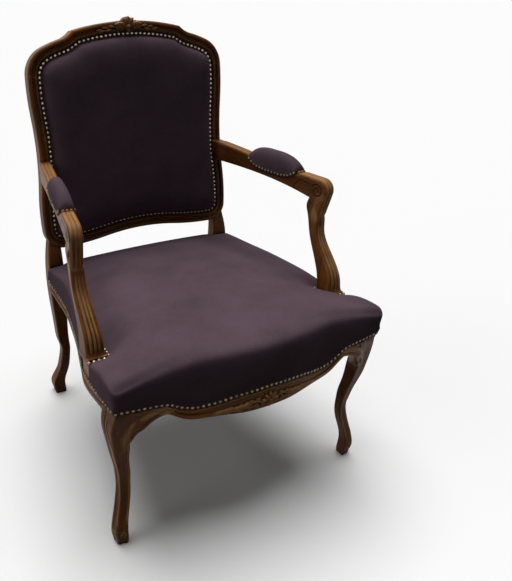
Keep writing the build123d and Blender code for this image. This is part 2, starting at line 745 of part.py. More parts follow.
STRAP_STEP = 84.0
web_top = RAIL_TOP + STRAP_T
length_straps = straps_along_y([(i - 2) * STRAP_STEP for i in range(5)], RAIL_TOP, web_top)
cross_straps = straps_along_x([-78 + i * STRAP_STEP for i in range(4)], web_top, web_top + STRAP_T)
burlap_low = web_top + STRAP_T
burlap_top = burlap_low + BURLAP_T


def stump_slot(grow):
    # The side shape of the arm support, cut through the cloth from its inner face outwards
    front = [(plinth_y0 - grow, RAIL_TOP - 60), (plinth_y0 - grow, RAIL_TOP + 10)]
    rear = [(plinth_y1 + grow, RAIL_TOP - 60), (plinth_y1 + grow, RAIL_TOP + 10)]
    for z, stump_front, stump_rear in reversed(STUMP_LEVELS[1:]):
        front.append((stump_front - 3.5 - grow, z))
        rear.append((stump_rear + 1 + grow, z))
    face = make_face(Polyline(*(front + list(reversed(rear))), close=True))
    away = plinth_x0 - grow
    return extrude((side_view.location * Pos(0, 0, away)) * face, amount=420 - away, dir=side_view.z_dir)


def notched(shape, grow):
    cut_a = stump_slot(grow)
    cut_b = block(stile_in - grow, 420, stile_front - grow, 420, 200, 560)
    return shape - cut_a - mirrored(cut_a) - cut_b - mirrored(cut_b)


# Crown of the seat from front to rear: y, share of the crown at the middle, rise over the side rails
SEAT_ROWS = [
    (-356, 0.72, 36.0),
    (-300, 0.89, 35.0),
    (-236, 0.97, 24.0),
    (-184, 1.0, 12.0),
    (-110, 0.985, 7.0),
    (0, 0.905, 8.0),
    (130, 0.68, 7.0),
    (220, 0.40, 4.5),
    (285, 0.09, 3.0),
]
# Side walls of the seat: inset from the rails and height over them
SEAT_WALL = [(0.0, -103.0), (0.0, -6.0), (-0.8, 16.0), (-1.0, 28.0), (-0.3, 46.0), (1.6, 60.0), (5.0, 74.0), (12.0, 95.0)]
SEAT_FAR = 345.0


def seat_crown(t):
    # Sections across the seat, each a low arch
    sections = []
    for y, share, rise_over in SEAT_ROWS:
        middle = RAIL_TOP + SEAT_CROWN * share + t
        edge = RAIL_TOP + rise_over + t
        reach = side_x(min(max(y, -seat_corner[1]), seat_rear))
        far_z = middle - (middle - edge) * (SEAT_FAR / reach) ** 2
        low_z = RAIL_TOP - 115
        lines = [
            ThreePointArc((-SEAT_FAR, far_z), (0, middle), (SEAT_FAR, far_z)),
            Line((SEAT_FAR, far_z), (SEAT_FAR, low_z)),
            Line((SEAT_FAR, low_z), (-SEAT_FAR, low_z)),
            Line((-SEAT_FAR, low_z), (-SEAT_FAR, far_z)),
        ]
        sections.append(Pos(0, y, 0) * (front_view.location * make_face(lines)))
    return loft(sections)


def seat_form(t):
    # The crowned seat as a solid, t outwards from the rails, with swelling walls
    walls = loft([seat_face(SEAT_BULGE * d - t, RAIL_TOP + z) for d, z in SEAT_WALL], ruled=True)
    return walls & seat_crown(t)


nail_front_cut = above(
    both_sides(shifted(FRONT_NAILS, -NAIL_EDGE)), front_view, RAIL_TOP + 200, 200, 420
)
nail_side_cut = above(shifted(SIDE_NAILS, -NAIL_EDGE), side_view, RAIL_TOP + 200, 240, 420)
seat_body = seat_form(CLOTH_T + FIT) - slab(seat_face(-FIT), 280, burlap_top + FIT)
rear_nail_z = RAIL_TOP - 34
front_part = (seat_body & block(-420, 420, -420, -seat_corner[1] + 8, 200, 560)) & nail_front_cut
rest_part = seat_body & block(-420, 420, -seat_corner[1] + 8, 420, 200, 560)
low_sides = block(240, 420, -seat_corner[1] + 8, 420, 200, RAIL_TOP)
low_rear = block(-240, 240, -seat_corner[1] + 8, 420, 200, rear_nail_z - NAIL_EDGE)
upper_part = rest_part - low_sides - mirrored(low_sides) - low_rear
side_low = (rest_part & low_sides) & nail_side_cut
seat_cushion = front_part + upper_part + side_low + mirrored(side_low)
seat_cushion = notched(seat_cushion, 0.6)
seat_burlap = notched(slab(seat_face(10), burlap_low, burlap_top), 2.0)

# Webbing, burlap, cushion and outside cover of the back, in the plane of the back
web_q = -RABBET_DEPTH


def back_strap(u0, u1, v0, v1, low):
    return block(u0, u1, v0, v1, low, low + STRAP_T)


inner_arcs = inset(back_arcs, FRAME_W - 4.5)


def inner_reach(v):
    return on_arcs(inner_arcs[4:7], 1, v)


upright_straps = []
for u in (-110.0, 0.0, 110.0):
    low = max(on_arcs(inner_arcs[8:10], 0, abs(u) + 25), on_arcs(inner_arcs[8:10], 0, max(abs(u) - 25, 0)))
    high = min(on_arcs(inner_arcs[0:3], 0, abs(u) + 25), on_arcs(inner_arcs[0:3], 0, max(abs(u) - 25, 0)))
    upright_straps.append(back_strap(u - 25, u + 25, low, high, web_q))
level_straps = []
for v in (120.0, 235.0, 350.0):
    reach = min(inner_reach(v - 25), inner_reach(v), inner_reach(v + 25))
    level_straps.append(back_strap(-reach, reach, v - 25, v + 25, web_q + STRAP_T))
back_burlap_low = web_q + 2 * STRAP_T
back_burlap_top = back_burlap_low + BURLAP_T
back_burlap = slab(back_face(FRAME_W - 5), back_burlap_low, back_burlap_top)


def back_form(t):
    # The crowned back as a solid, t outwards from its bed
    d = FRAME_W - 5.5 - t
    rows = [
        (-RABBET_DEPTH, 1.0),
        (-3.5, 1.0),
        (BACK_CROWN * 0.35 + t, 0.98),
        (BACK_CROWN * 0.8 + t, 0.9),
        (BACK_CROWN + t, 0.6),
    ]
    return loft([back_face(d, q, s) for q, s in rows], ruled=True)


flange = slab(back_face(RABBET_IN + FIT * 3), -RABBET_DEPTH, -RABBET_DEPTH + CLOTH_T)
back_bed = slab(back_face(FRAME_W - 5 - FIT), -RABBET_DEPTH - 2, back_burlap_top + FIT)
back_cushion = (back_form(CLOTH_T + FIT) + flange) - back_bed
rear_q = REAR_RABBET_DEPTH - FRAME_T
outside_cover = slab(back_face(REAR_RABBET_IN + FIT * 3), rear_q - CLOTH_T, rear_q)


# Arm pads, cross sections along the arm
def pad_form(t):
    rows = [
        (0.0, PAD_FLOOR, 655.0, 663.0),
        (14.0, 645.0, 656.0, 675.0),
        (44.0, 634.0, 657.0, PAD_CROWN - 4),
        (PAD_L * 0.5, PAD_SKIRT, 657.0, PAD_CROWN),
        (PAD_L - 44.0, 634.0, 657.0, PAD_CROWN - 4),
        (PAD_L - 14.0, 645.0, 656.0, 675.0),
        (PAD_L, PAD_FLOOR, 655.0, 663.0),
    ]
    half = ARM_W / 2 + t
    sections = []
    for s, low, shoulder, top in rows:
        along = PAD_START + FIT + s * (PAD_L - 2 * FIT) / PAD_L
        plane = Plane(
            origin=arm_plane.from_local_coords(Vector(along, 0, 0)),
            x_dir=arm_plane.z_dir,
            z_dir=arm_plane.x_dir,
        )
        up = 1 if plane.y_dir.Z > 0 else -1
        lines = [
            Line((half, low * up), (half, shoulder * up)),
            ThreePointArc((half, shoulder * up), (0, (top + t) * up), (-half, shoulder * up)),
            Line((-half, shoulder * up), (-half, low * up)),
            Line((-half, low * up), (half, low * up)),
        ]
        sections.append(plane.location * make_face(lines))
    return loft(sections)


pad_half = ARM_W / 2 + FIT
arm_pad = pad_form(CLOTH_T + FIT) - arm_plane.location * block(0, 500, 500, PAD_FLOOR + FIT, -pad_half, pad_half)

save("crest_rail", crest_rail)
save("lower_back_rail", lower_back_rail)
save("front_seat_rail", front_rail)
save("rear_seat_rail", rear_rail)
for tag, turn in (("right", lambda s: s), ("left", mirrored)):
    save("front_leg_" + tag, turn(front_leg))
    save("rear_leg_" + tag, turn(rear_leg))
    save("side_seat_rail_" + tag, turn(side_rail))
    save("arm_" + tag, turn(arm))
    save("arm_support_" + tag, turn(arm_support))
    save("front_corner_block_" + tag, turn(front_corner))
    save("rear_corner_block_" + tag, turn(rear_corner))
    save("arm_pad_" + tag, turn(arm_pad))
save("seat_webbing_lengthwise", Compound(length_straps))
save("seat_webbing_crosswise", Compound(cross_straps))
save("seat_burlap", seat_burlap)
save("seat_cushion", seat_cushion)
save("back_webbing_upright", back_place * Compound(upright_straps))
save("back_webbing_crosswise", back_place * Compound(level_straps))
save("back_burlap", back_place * back_burlap)
save("back_cushion", back_place * back_cushion)
save("outside_back_cover", back_place * outside_cover)
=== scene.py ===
import bpy
import random
from math import sin, cos, pi, radians, hypot, sqrt, atan2
from mathutils import Vector, Matrix, noise
from mathutils.bvhtree import BVHTree


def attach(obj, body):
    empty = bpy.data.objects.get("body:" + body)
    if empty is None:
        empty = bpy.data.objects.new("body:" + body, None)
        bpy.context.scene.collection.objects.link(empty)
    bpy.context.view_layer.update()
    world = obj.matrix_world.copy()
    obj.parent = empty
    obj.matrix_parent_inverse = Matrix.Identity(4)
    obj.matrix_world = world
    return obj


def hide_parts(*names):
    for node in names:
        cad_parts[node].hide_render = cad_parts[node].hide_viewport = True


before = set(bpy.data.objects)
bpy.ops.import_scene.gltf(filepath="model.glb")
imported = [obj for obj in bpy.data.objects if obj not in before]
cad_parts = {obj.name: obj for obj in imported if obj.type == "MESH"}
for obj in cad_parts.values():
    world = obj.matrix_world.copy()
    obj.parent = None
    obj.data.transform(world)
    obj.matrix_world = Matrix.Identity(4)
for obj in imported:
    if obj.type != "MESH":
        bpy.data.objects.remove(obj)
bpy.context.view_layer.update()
random.seed(7)

# Lengths are in millimetres, as in the solids, until put() gives them in metres of the shared frame
MM = 0.001
SHIFT_Y = 4.55
SIDES = ((1, "right"), (-1, "left"))

# The back, leaning on its rake, with a rabbet for the cloth at the front and one at the rear
BACK_RAKE = radians(6.84)
BACK_Y = 250.5
BACK_Z = 450.0
BACK_TOP = 521.5
BACK_MID = (0.0, 262.0)
FRAME_T = 34.0
RABBET_IN = 22.0
RABBET_DEPTH = 9.0
REAR_RABBET_IN = 24.0
REAR_Q = 3.0 - FRAME_T
CREST_R = 594.0

# The seat: rails, posts and the lines of its nails and lower edges as (place along the rail, height)
RAIL_TOP = 395.0
SEAT_MID = (0.0, -40.0)
STILE_IN = 222.0
STILE_FRONT = 243.0
POST_Y = -249.65
SIDE_RAIL_T = 26.0
SIDE_RAIL_LEAST = 21.5
SIDE_RAIL_ROWS = 111
REAR_RAIL_T = 26.0
BLOCK_H = 26.0
BLOCK_DROP = 60.0
BLOCK_REACH = 62.0
BORDER_H = 9.0
BORDER_OUT = 2.2
FRONT_NAILS = [(0, 354), (78, 348), (112, 341), (155, 336), (184, 343), (212, 357), (262, 361), (330, 362)]
SIDE_NAILS = [(-330, 362), (-250, 361), (-110, 351), (80, 351), (190, 363), (250, 379), (290, 390)]
SIDE_EDGE = [(-310, 322), (-250, 335), (-150, 322), (40, 322), (170, 333), (222, 343), (262, 346)]
REAR_NAIL_Z = RAIL_TOP - 34
# How far the side rails draw in behind the arm supports: y and the step inwards
SIDE_DRAW = [(-301.6, 0), (-250, 1.5), (-174, 5), (-133, 9), (-82, 20), (9, 35), (101, 38), (150, 32),
             (200, 19), (243, 6), (261.5, 0)]

# The arms and their supports: plinth as x and y limits, support as height, front and rear
ARM_X = 239.5
ARM_FLARE = radians(9.18)
ARM_W = 28.0
ARM_TOP = 648.0
ROLL_Y = -88.0
ROLL_Z = 630.0
PAD_START = 134.0
PAD_L = 172.0
PAD_SHOWN = 162.0
PAD_FLOOR = 650.0
PAD_SKIRT = 631.0
PLINTH = (277.5, 319.5, -180.0, -133.5)
STUMP_SIDE = [(395, -180.0, -133.5), (405, -180.0, -133.5), (424, -173.5, -128.5), (446, -166.0, -121.0),
              (468, -150.0, -109.5), (488, -132.0, -97.5), (508, -114.0, -85.5)]

# Cloth and nails
CLOTH_OUT = 1.6
TUCK = 0.8
NAIL_EDGE = 6.0
NAIL_R = 3.6
NAIL_H = 2.6
NAIL_PITCH = 11.2
NAIL_CLOSE = 0.95 * NAIL_PITCH


def clamp(k):
    return max(0.0, min(1.0, k))


def hill(far, size):
    # One at no distance, fading softly to nothing
    return 2.718 ** (-(far / size) ** 2)


def even(first, last, count):
    # Evenly spaced values, both ends included
    return [first + (last - first) * i / (count - 1) for i in range(count)]


def hermite(y0, y1, m0, m1, t):
    # A curve from y0 to y1 with slopes m0 and m1 at its ends
    a = (1 + 2 * t) * (1 - t) ** 2 * y0 + t * (1 - t) ** 2 * m0
    return a + t * t * (3 - 2 * t) * y1 + t * t * (t - 1) * m1


def smooth_line(points, x):
    # A curve through the points with even slopes, read at x
    if x <= points[0][0]:
        return points[0][1]
    for i in range(len(points) - 1):
        x0, y0 = points[i]
        x1, y1 = points[i + 1]
        if x0 <= x < x1:
            before = points[max(i - 1, 0)]
            after = points[min(i + 2, len(points) - 1)]
            h = x1 - x0
            m0 = h * (y1 - before[1]) / (x1 - before[0])
            m1 = h * (after[1] - y0) / (after[0] - x0)
            return hermite(y0, y1, m0, m1, (x - x0) / h)
    return points[-1][1]


# Outlines made of arcs
def turtle(start, heading, legs):
    # A chain of arcs: each leg gives its radius, its turn and the jump in heading before it
    arcs = []
    x, y = start
    for radius, turn, jump in legs:
        heading = heading + jump
        side = -1 if turn < 0 else 1
        cx = x - side * radius * sin(radians(heading))
        cy = y + side * radius * cos(radians(heading))
        heading = heading + turn
        ex = cx + side * radius * sin(radians(heading))
        ey = cy - side * radius * cos(radians(heading))
        arcs.append({"c": (cx, cy), "r": radius, "side": side, "corner": jump != 0,
                     "p0": (x, y), "p1": (ex, ey)})
        x, y = ex, ey
    return arcs, heading


def crossing(a, b, near):
    # Where two circles meet, near a point
    ax, ay = a["c"]
    bx, by = b["c"]
    d = hypot(bx - ax, by - ay)
    along = (d * d + a["r"] ** 2 - b["r"] ** 2) / (2 * d)
    up = sqrt(max(a["r"] ** 2 - along ** 2, 0.0))
    ux, uy = (bx - ax) / d, (by - ay) / d
    found = [(ax + along * ux - s * up * uy, ay + along * uy + s * up * ux) for s in (1, -1)]
    return min(found, key=lambda p: hypot(p[0] - near[0], p[1] - near[1]))


def inset(arcs, d):
    # The same chain, a distance inwards
    out = []
    for a in arcs:
        moved = dict(a)
        moved["r"] = a["r"] + a["side"] * d
        k = moved["r"] / a["r"]
        for key in ("p0", "p1"):
            p = a[key]
            moved[key] = (a["c"][0] + (p[0] - a["c"][0]) * k, a["c"][1] + (p[1] - a["c"][1]) * k)
        out.append(moved)
    for i in range(1, len(out)):
        if out[i]["corner"]:
            p = crossing(out[i - 1], out[i], arcs[i]["p0"])
            out[i - 1]["p1"] = p
            out[i]["p0"] = p
    return out


def arc_span(a):
    # An arc's first angle and its turn
    a0 = atan2(a["p0"][1] - a["c"][1], a["p0"][0] - a["c"][0])
    a1 = atan2(a["p1"][1] - a["c"][1], a["p1"][0] - a["c"][0])
    return a0, (a1 - a0 + pi) % (2 * pi) - pi


def arc_at(a, k):
    a0, turn = arc_span(a)
    ang = a0 + turn * k
    return (a["c"][0] + a["r"] * cos(ang), a["c"][1] + a["r"] * sin(ang))


def arc_length(a):
    return abs(arc_span(a)[1]) * a["r"]


def on_arcs(arcs, key, value):
    # The other coordinate where one coordinate has a value
    for a in arcs:
        lo = min(a["p0"][key], a["p1"][key])
        hi = max(a["p0"][key], a["p1"][key])
        if lo <= value <= hi:
            away = sqrt(a["r"] ** 2 - (value - a["c"][key]) ** 2)
            outer = arc_at(a, 0.5)[1 - key] > a["c"][1 - key]
            return a["c"][1 - key] + (away if outer else -away)
    return arcs[-1]["p1"][1 - key]


# Right half of the back, clockwise from the middle of the crest
back_arcs, back_heading = turtle((0, BACK_TOP), 0, [
    (CREST_R, -13.53, 0),
    (66.0, 30.0, -31.5),
    (300.0, -9.0, 0),
    (69.0, -63.0, 0),
    (645.0, -8.0, 0),
    (850.0, 12.0, 0),
    (575.0, -10.0, 0),
    (45.8, -87.0, 0),
])
CREST_ARCS = slice(0, 3)
FLANK_ARCS = slice(4, 7)
LOW_ARCS = slice(8, 10)
LOW_R = 700.0
LOW_TURN = 9.5
low_start = back_arcs[-1]["p1"]
low_over = back_heading + 180
low_run = LOW_R * (sin(radians(LOW_TURN)) + sin(radians(low_over)))
low_end_r = (low_start[0] - low_run) / sin(radians(LOW_TURN))
back_arcs += turtle(low_start, back_heading, [
    (LOW_R, -(LOW_TURN + low_over), 0),
    (low_end_r, LOW_TURN, 0),
])[0]

# Right half of the seat, with its front upwards
seat_arcs = turtle((0, 345.5), 0, [
    (480.0, -15.0, 0),
    (450.0, 9.0, 0),
    (4000.0, -1.75, 0),
    (1551.0, -21.0, -76.75),
])[0]
SEAT_FRONT_ARCS = slice(0, 3)
SEAT_SIDE_ARCS = slice(3, 4)
SEAT_REAR = -seat_arcs[-1]["p1"][1]
SEAT_CORNER = seat_arcs[2]["p1"]


def seat_chain(d):
    out = inset(seat_arcs, d)
    last = out[-1]
    f = -SEAT_REAR + d
    last["p1"] = (last["c"][0] + sqrt(last["r"] ** 2 - (f - last["c"][1]) ** 2), f)
    return out


def front_y(x, d=0.0):
    return -on_arcs(seat_chain(d)[SEAT_FRONT_ARCS], 0, abs(x))


def even_side_x(y, d=0.0):
    return on_arcs(seat_chain(d)[SEAT_SIDE_ARCS], 1, -y)


def side_x(y, d=0.0):
    return even_side_x(y, d) - smooth_line(SIDE_DRAW, y)


# Places on the back, on an arm and in the shared frame
back_up = Vector((0, sin(BACK_RAKE), cos(BACK_RAKE)))
back_out = Vector((0, -cos(BACK_RAKE), sin(BACK_RAKE)))
arm_rear_y = BACK_Y + (ARM_TOP - BACK_Z) * sin(BACK_RAKE) / cos(BACK_RAKE)
arm_along = Vector((sin(ARM_FLARE), -cos(ARM_FLARE), 0))
arm_side = Vector((cos(ARM_FLARE), sin(ARM_FLARE), 0))
ROLL_S = (arm_rear_y - ROLL_Y) / cos(ARM_FLARE)


def on_back(u, v, q):
    return Vector((u, BACK_Y, BACK_Z)) + back_up * v + back_out * q


def on_arm(s, z, w, sign):
    p = Vector((ARM_X, arm_rear_y, 0)) + arm_along * s + arm_side * w
    return Vector((sign * p.x, p.y, z))


def put(p):
    return Vector((p[0] * MM, (p[1] + SHIFT_Y) * MM, p[2] * MM))


# Meshes: work is a pair of lists, the points and the faces of one piece
def add_rings(work, rings, start=None, end=None, turned=False):
    # Quads between rings of equal length; an end is open, closed flat or drawn together to a point
    verts, faces = work
    n = len(rings[0])
    base = len(verts)
    last = base + (len(rings) - 1) * n
    for ring in rings:
        verts.extend(ring)
    for a in range(base, last, n):
        for i in range(n):
            j = (i + 1) % n
            quad = (a + i, a + n + i, a + n + j, a + j) if turned else (a + i, a + j, a + n + j, a + n + i)
            faces.append(quad)
    for first, cap, backwards in ((base, start, not turned), (last, end, turned)):
        order = [first + i for i in range(n)]
        if backwards:
            order.reverse()
        if cap == "flat":
            faces.append(tuple(order))
        elif cap is not None:
            verts.append(cap)
            faces.extend((order[i], order[(i + 1) % n], len(verts) - 1) for i in range(n))


def new_object(name, data):
    obj = bpy.data.objects.new(name, data)
    bpy.context.scene.collection.objects.link(obj)
    return obj


def new_mesh(name, work, material, smooth=True):
    mesh = bpy.data.meshes.new(name)
    mesh.from_pydata([put(v) for v in work[0]], [], work[1])
    mesh.validate()
    mesh.update()
    obj = new_object(name, mesh)
    mesh.materials.append(material)
    if smooth:
        for poly in mesh.polygons:
            poly.use_smooth = True
    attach(obj, "root")
    return obj


def ring_mesh(name, rings, material, start="flat", end="flat", smooth=True):
    work = ([], [])
    add_rings(work, rings, start, end)
    return new_mesh(name, work, material, smooth)


# Materials
def wire(tree, node, sockets):
    # Each socket takes a plain value or another node's output
    for key, value in sockets.items():
        if isinstance(value, bpy.types.NodeSocket):
            tree.links.new(value, node.inputs[key])
        else:
            node.inputs[key].default_value = value


def add_node(tree, kind, output, sockets, **settings):
    # A new node with its settings and sockets, as the output that is wanted of it
    node = tree.nodes.new("ShaderNode" + kind)
    for key, value in settings.items():
        setattr(node, key, value)
    wire(tree, node, sockets)
    return node.outputs[output]


def new_material(name):
    mat = bpy.data.materials.new(name)
    mat.use_nodes = True
    return mat, mat.node_tree, mat.node_tree.nodes["Principled BSDF"]


def ramp(tree, factor, stops):
    colour = add_node(tree, "ValToRGB", "Color", {"Fac": factor})
    elements = colour.node.color_ramp.elements
    while len(elements) < len(stops):
        elements.new(0.5)
    for element, (position, tone) in zip(elements, stops):
        element.position = position
        element.color = (*tone, 1)
    return colour


def mottle(tree, vector, scale, detail, rough=0.6):
    sockets = {"Vector": vector, "Scale": scale, "Detail": detail, "Roughness": rough}
    return add_node(tree, "TexNoise", "Fac", sockets)


def mix(tree, kind, factor, a, b):
    sockets = {"Factor": factor, "A": a, "B": b}
    return add_node(tree, "Mix", "Result", sockets, data_type="RGBA", blend_type=kind)


def maths(tree, kind, a, b):
    return add_node(tree, "Math", "Value", {0: a, 1: b}, operation=kind)


def map_range(tree, value, low, high, to_low, to_high):
    sockets = {"Value": value, "From Min": low, "From Max": high, "To Min": to_low, "To Max": to_high}
    return add_node(tree, "MapRange", "Result", sockets)


def walnut(name, stretch, tone):
    # Polished walnut: long grain and soft figure, with painted shade darkening its crevices, and lighter
    # edges that are partly wear and partly painted highlight
    mat, tree, shader = new_material(name)
    place = add_node(tree, "TexCoord", "Object", {})
    along = add_node(tree, "Mapping", "Vector", {"Vector": place, "Scale": stretch})
    grain = mottle(tree, along, 260.0, 6.0, 0.62)
    figure = mottle(tree, along, 38.0, 3.0)
    patches = mottle(tree, place, 7.0, 2.0)
    grain_colour = ramp(tree, grain, [(0.30, (0.052, 0.0165, 0.0040)), (0.52, (0.150, 0.056, 0.0140)),
                                      (0.74, (0.255, 0.106, 0.029))])
    figure_colour = ramp(tree, figure, [(0.32, (0.082, 0.028, 0.0070)), (0.68, (0.275, 0.114, 0.030))])
    warmth = ramp(tree, patches, [(0.35, (0.62 * tone, 0.58 * tone, 0.54 * tone)),
                                  (0.66, (1.3 * tone, 1.2 * tone, 1.1 * tone))])
    # Painted shade: ambient occlusion darkens the colour in the crevices, where shade falls
    hollow = add_node(tree, "AmbientOcclusion", "AO", {"Distance": 0.011}, samples=6)
    painted_crevice_shade = ramp(tree, hollow, [(0.40, (0.10, 0.075, 0.06)), (0.90, (1.0, 1.0, 1.0))])
    # Lighter colour on convex edges, found by inside ambient occlusion: partly wear, partly painted
    # highlight on the ridges
    edge_wear_and_highlight_colour = ramp(tree, figure, [(0.3, (0.30, 0.145, 0.050)), (0.7, (0.50, 0.28, 0.115))])
    edge = add_node(tree, "AmbientOcclusion", "AO", {"Distance": 0.006}, samples=6, inside=True)
    edge_wear_and_highlight = map_range(tree, edge, 0.25, 0.72, 0.6 * tone, 0.0)
    base = mix(tree, "MIX", 0.5, grain_colour, figure_colour)
    base = mix(tree, "MULTIPLY", 1.0, base, warmth)
    base = mix(tree, "MULTIPLY", 1.0, base, painted_crevice_shade)
    wire(tree, shader, {
        "Base Color": mix(tree, "MIX", edge_wear_and_highlight, base, edge_wear_and_highlight_colour),
        "Roughness": map_range(tree, grain, 0.2, 0.8, 0.30, 0.50),
        "Specular IOR Level": 0.07,
        "Normal": add_node(tree, "Bump", "Normal", {"Height": grain, "Strength": 0.10, "Distance": 0.0006}),
        "Coat Weight": 0.03,
        "Coat Roughness": 0.22,
    })
    return mat


def plain_wood(name):
    # Raw wood inside the frame
    mat, tree, shader = new_material(name)
    place = add_node(tree, "TexCoord", "Object", {})
    along = add_node(tree, "Mapping", "Vector", {"Vector": place, "Scale": (0.1, 1, 1)})
    grain = mottle(tree, along, 180.0, 5.0)
    colour = ramp(tree, grain, [(0.3, (0.30, 0.20, 0.11)), (0.7, (0.48, 0.35, 0.21))])
    wire(tree, shader, {"Base Color": colour, "Roughness": 0.75})
    return mat


def weave_height(tree, place, scale):
    # Plain weave: crossed sets of threads, over and under in turn
    waves = {}
    for axis in "XYZ":
        sockets = {"Vector": place, "Scale": scale, "Distortion": 0.6, "Detail": 1.0}
        waves[axis] = add_node(tree, "TexWave", "Fac", sockets, wave_type="BANDS", bands_direction=axis)
    level = maths(tree, "MULTIPLY", waves["X"], waves["Y"])
    upright = maths(tree, "MULTIPLY", waves["X"], waves["Z"])
    return maths(tree, "MAXIMUM", level, upright)


def cloth(name, dark, light, threads):
    # Plain cloth: fine weave, faint slubs and a soft nap
    mat, tree, shader = new_material(name)
    place = add_node(tree, "TexCoord", "Object", {})
    tone = ramp(tree, mottle(tree, place, 9.0, 4.0), [(0.3, dark), (0.72, light)])
    slub = mottle(tree, place, 900.0, 3.0)
    fleck = ramp(tree, slub, [(0.35, (0.72, 0.72, 0.74)), (0.66, (1.3, 1.25, 1.28))])
    weave = weave_height(tree, place, threads)
    wire(tree, shader, {
        "Base Color": mix(tree, "MULTIPLY", 0.8, tone, fleck),
        "Roughness": 0.92,
        "Specular IOR Level": 0.02,
        "Sheen Weight": 0.03,
        "Sheen Roughness": 0.55,
        "Sheen Tint": (0.62, 0.46, 0.55, 1),
        "Normal": add_node(tree, "Bump", "Normal", {"Height": weave, "Strength": 0.35, "Distance": 0.0007}),
    })
    return mat


def brass(name, bright, dull):
    # Antique brass heads: worn bright crowns over brown patina
    mat, tree, shader = new_material(name)
    place = add_node(tree, "TexCoord", "Object", {})
    patina = mottle(tree, place, 160.0, 3.0)
    wire(tree, shader, {
        "Base Color": ramp(tree, patina, [(0.38, dull), (0.62, bright)]),
        "Metallic": 1.0,
        "Roughness": map_range(tree, patina, 0.3, 0.7, 0.5, 0.28),
    })
    return mat


WOOD_X = walnut("walnut_across", (0.07, 1.0, 1.0), 1.18)
WOOD_Y = walnut("walnut_lengthwise", (1.0, 0.07, 1.0), 1.18)
WOOD_Z = walnut("walnut_upright", (1.0, 1.0, 0.07), 1.14)
# A lighter copy of the walnut for the front rail, its carving and the knee sweeps: painted light, since
# these faces turn away from the lamps
WOOD_FRONT_PAINTED_LIGHT = walnut("walnut_front_painted_light", (0.07, 1.0, 1.0), 1.75)
# A near-black copy of the walnut for the cut lines on the arms' sides: painted shade standing for the shadow
# inside the cuts
WOOD_GROOVE_PAINTED_SHADE = walnut("walnut_groove_painted_shade", (1.0, 0.07, 1.0), 0.05)
HIDDEN = plain_wood("frame_wood")
CLOTH = cloth("plum_cloth", (0.089, 0.0590, 0.0725), (0.124, 0.0850, 0.1035), 330.0)
JUTE = cloth("jute_web", (0.20, 0.14, 0.08), (0.32, 0.24, 0.14), 120.0)
BRASS = brass("antique_brass", (0.47, 0.39, 0.265), (0.20, 0.15, 0.09))
# A darker copy of the brass for the back's lowest nails, the seat's nails and the pads' nails: painted shade
# for nails that lie in shadow or face away from the lamps
BRASS_PAINTED_SHADE = brass("brass_painted_shade", (0.17, 0.132, 0.082), (0.075, 0.054, 0.031))

# Finish of the carried-over pieces, by the first of these words that a node's name has
FINISHES = (("webbing", JUTE), ("burlap", JUTE), ("block", HIDDEN), ("rear_seat_rail", HIDDEN),
            ("cushion", CLOTH), ("cover", CLOTH), ("arm_pad", CLOTH), ("crest", WOOD_X),
            ("lower_back", WOOD_X), ("front_seat_rail", WOOD_FRONT_PAINTED_LIGHT), ("side_seat_rail", WOOD_Y),
            ("arm_support", WOOD_Z), ("leg", WOOD_Z), ("arm", WOOD_Y))
for name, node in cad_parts.items():
    node.data.materials.clear()
    node.data.materials.append(next(finish for word, finish in FINISHES if word in name))


# Rings of points round the back and the seat
BACK_COUNTS = [max(3, int(arc_length(a) / 7.0)) for a in back_arcs]
SEAT_COUNTS = [max(3, int(arc_length(a) / 5.0)) for a in seat_arcs]
REAR_COUNT = 44


def half_ring(arcs, counts):
    points = [arc_at(a, i / n) for a, n in zip(arcs, counts) for i in range(n)]
    return points + [arcs[-1]["p1"]]


def back_ring(d):
    right = half_ring(inset(back_arcs, d), BACK_COUNTS)
    return right + [(-x, y) for x, y in reversed(right[1:-1])]


def seat_ring(d):
    right = [(x, -y) for x, y in half_ring(seat_chain(d), SEAT_COUNTS)]
    side = sum(SEAT_COUNTS[SEAT_FRONT_ARCS]) + 1
    right[side:] = [(x - smooth_line(SIDE_DRAW, y), y) for x, y in right[side:]]
    end_x, end_y = right[-1]
    rear = [(end_x * (1 - 2 * i / REAR_COUNT), end_y) for i in range(1, REAR_COUNT)]
    return right + rear + [(-x, y) for x, y in reversed(right[1:])]


def drawn(p, mid, k):
    # A point of a plan drawn in towards its middle
    return (mid[0] + (p[0] - mid[0]) * k, mid[1] + (p[1] - mid[1]) * k)


def soft_wave(p, size, amount):
    return noise.noise(Vector((p[0] / size, p[1] / size, p[2] / size))) * amount


# Back cushion: its edge as (distance inside the outline, level), its crown as (share of the edge, level)
BACK_EDGE = ((22.4, -8.9), (22.4, -7.5), (29.0, -7.3), (33.0, -6.9), (34.6, -4.6), (35.8, 0.6), (37.4, 5.4),
             (40.0, 9.4))
BACK_CROWN = ((0.985, 12.6), (0.965, 15.4), (0.94, 17.9), (0.90, 20.4), (0.85, 22.4), (0.78, 24.0),
              (0.69, 25.0), (0.58, 25.6), (0.46, 25.9), (0.34, 26.0), (0.22, 26.1), (0.1, 26.1))
BACK_UNDER = -5.5


def back_cushion():
    rings = [[on_back(u, v, q) for u, v in back_ring(d)] for d, q in BACK_EDGE]
    edge = back_ring(BACK_EDGE[-1][0])
    for share, q in BACK_CROWN:
        plan = [drawn(p, BACK_MID, share) for p in edge]
        rings.append([on_back(u, v, q + soft_wave((u, v, 3.0), 60.0, 0.7)) for u, v in plan])
    under = on_back(*BACK_MID, BACK_UNDER)
    return ring_mesh("back_pad", rings, CLOTH, under, on_back(*BACK_MID, BACK_CROWN[-1][1]))


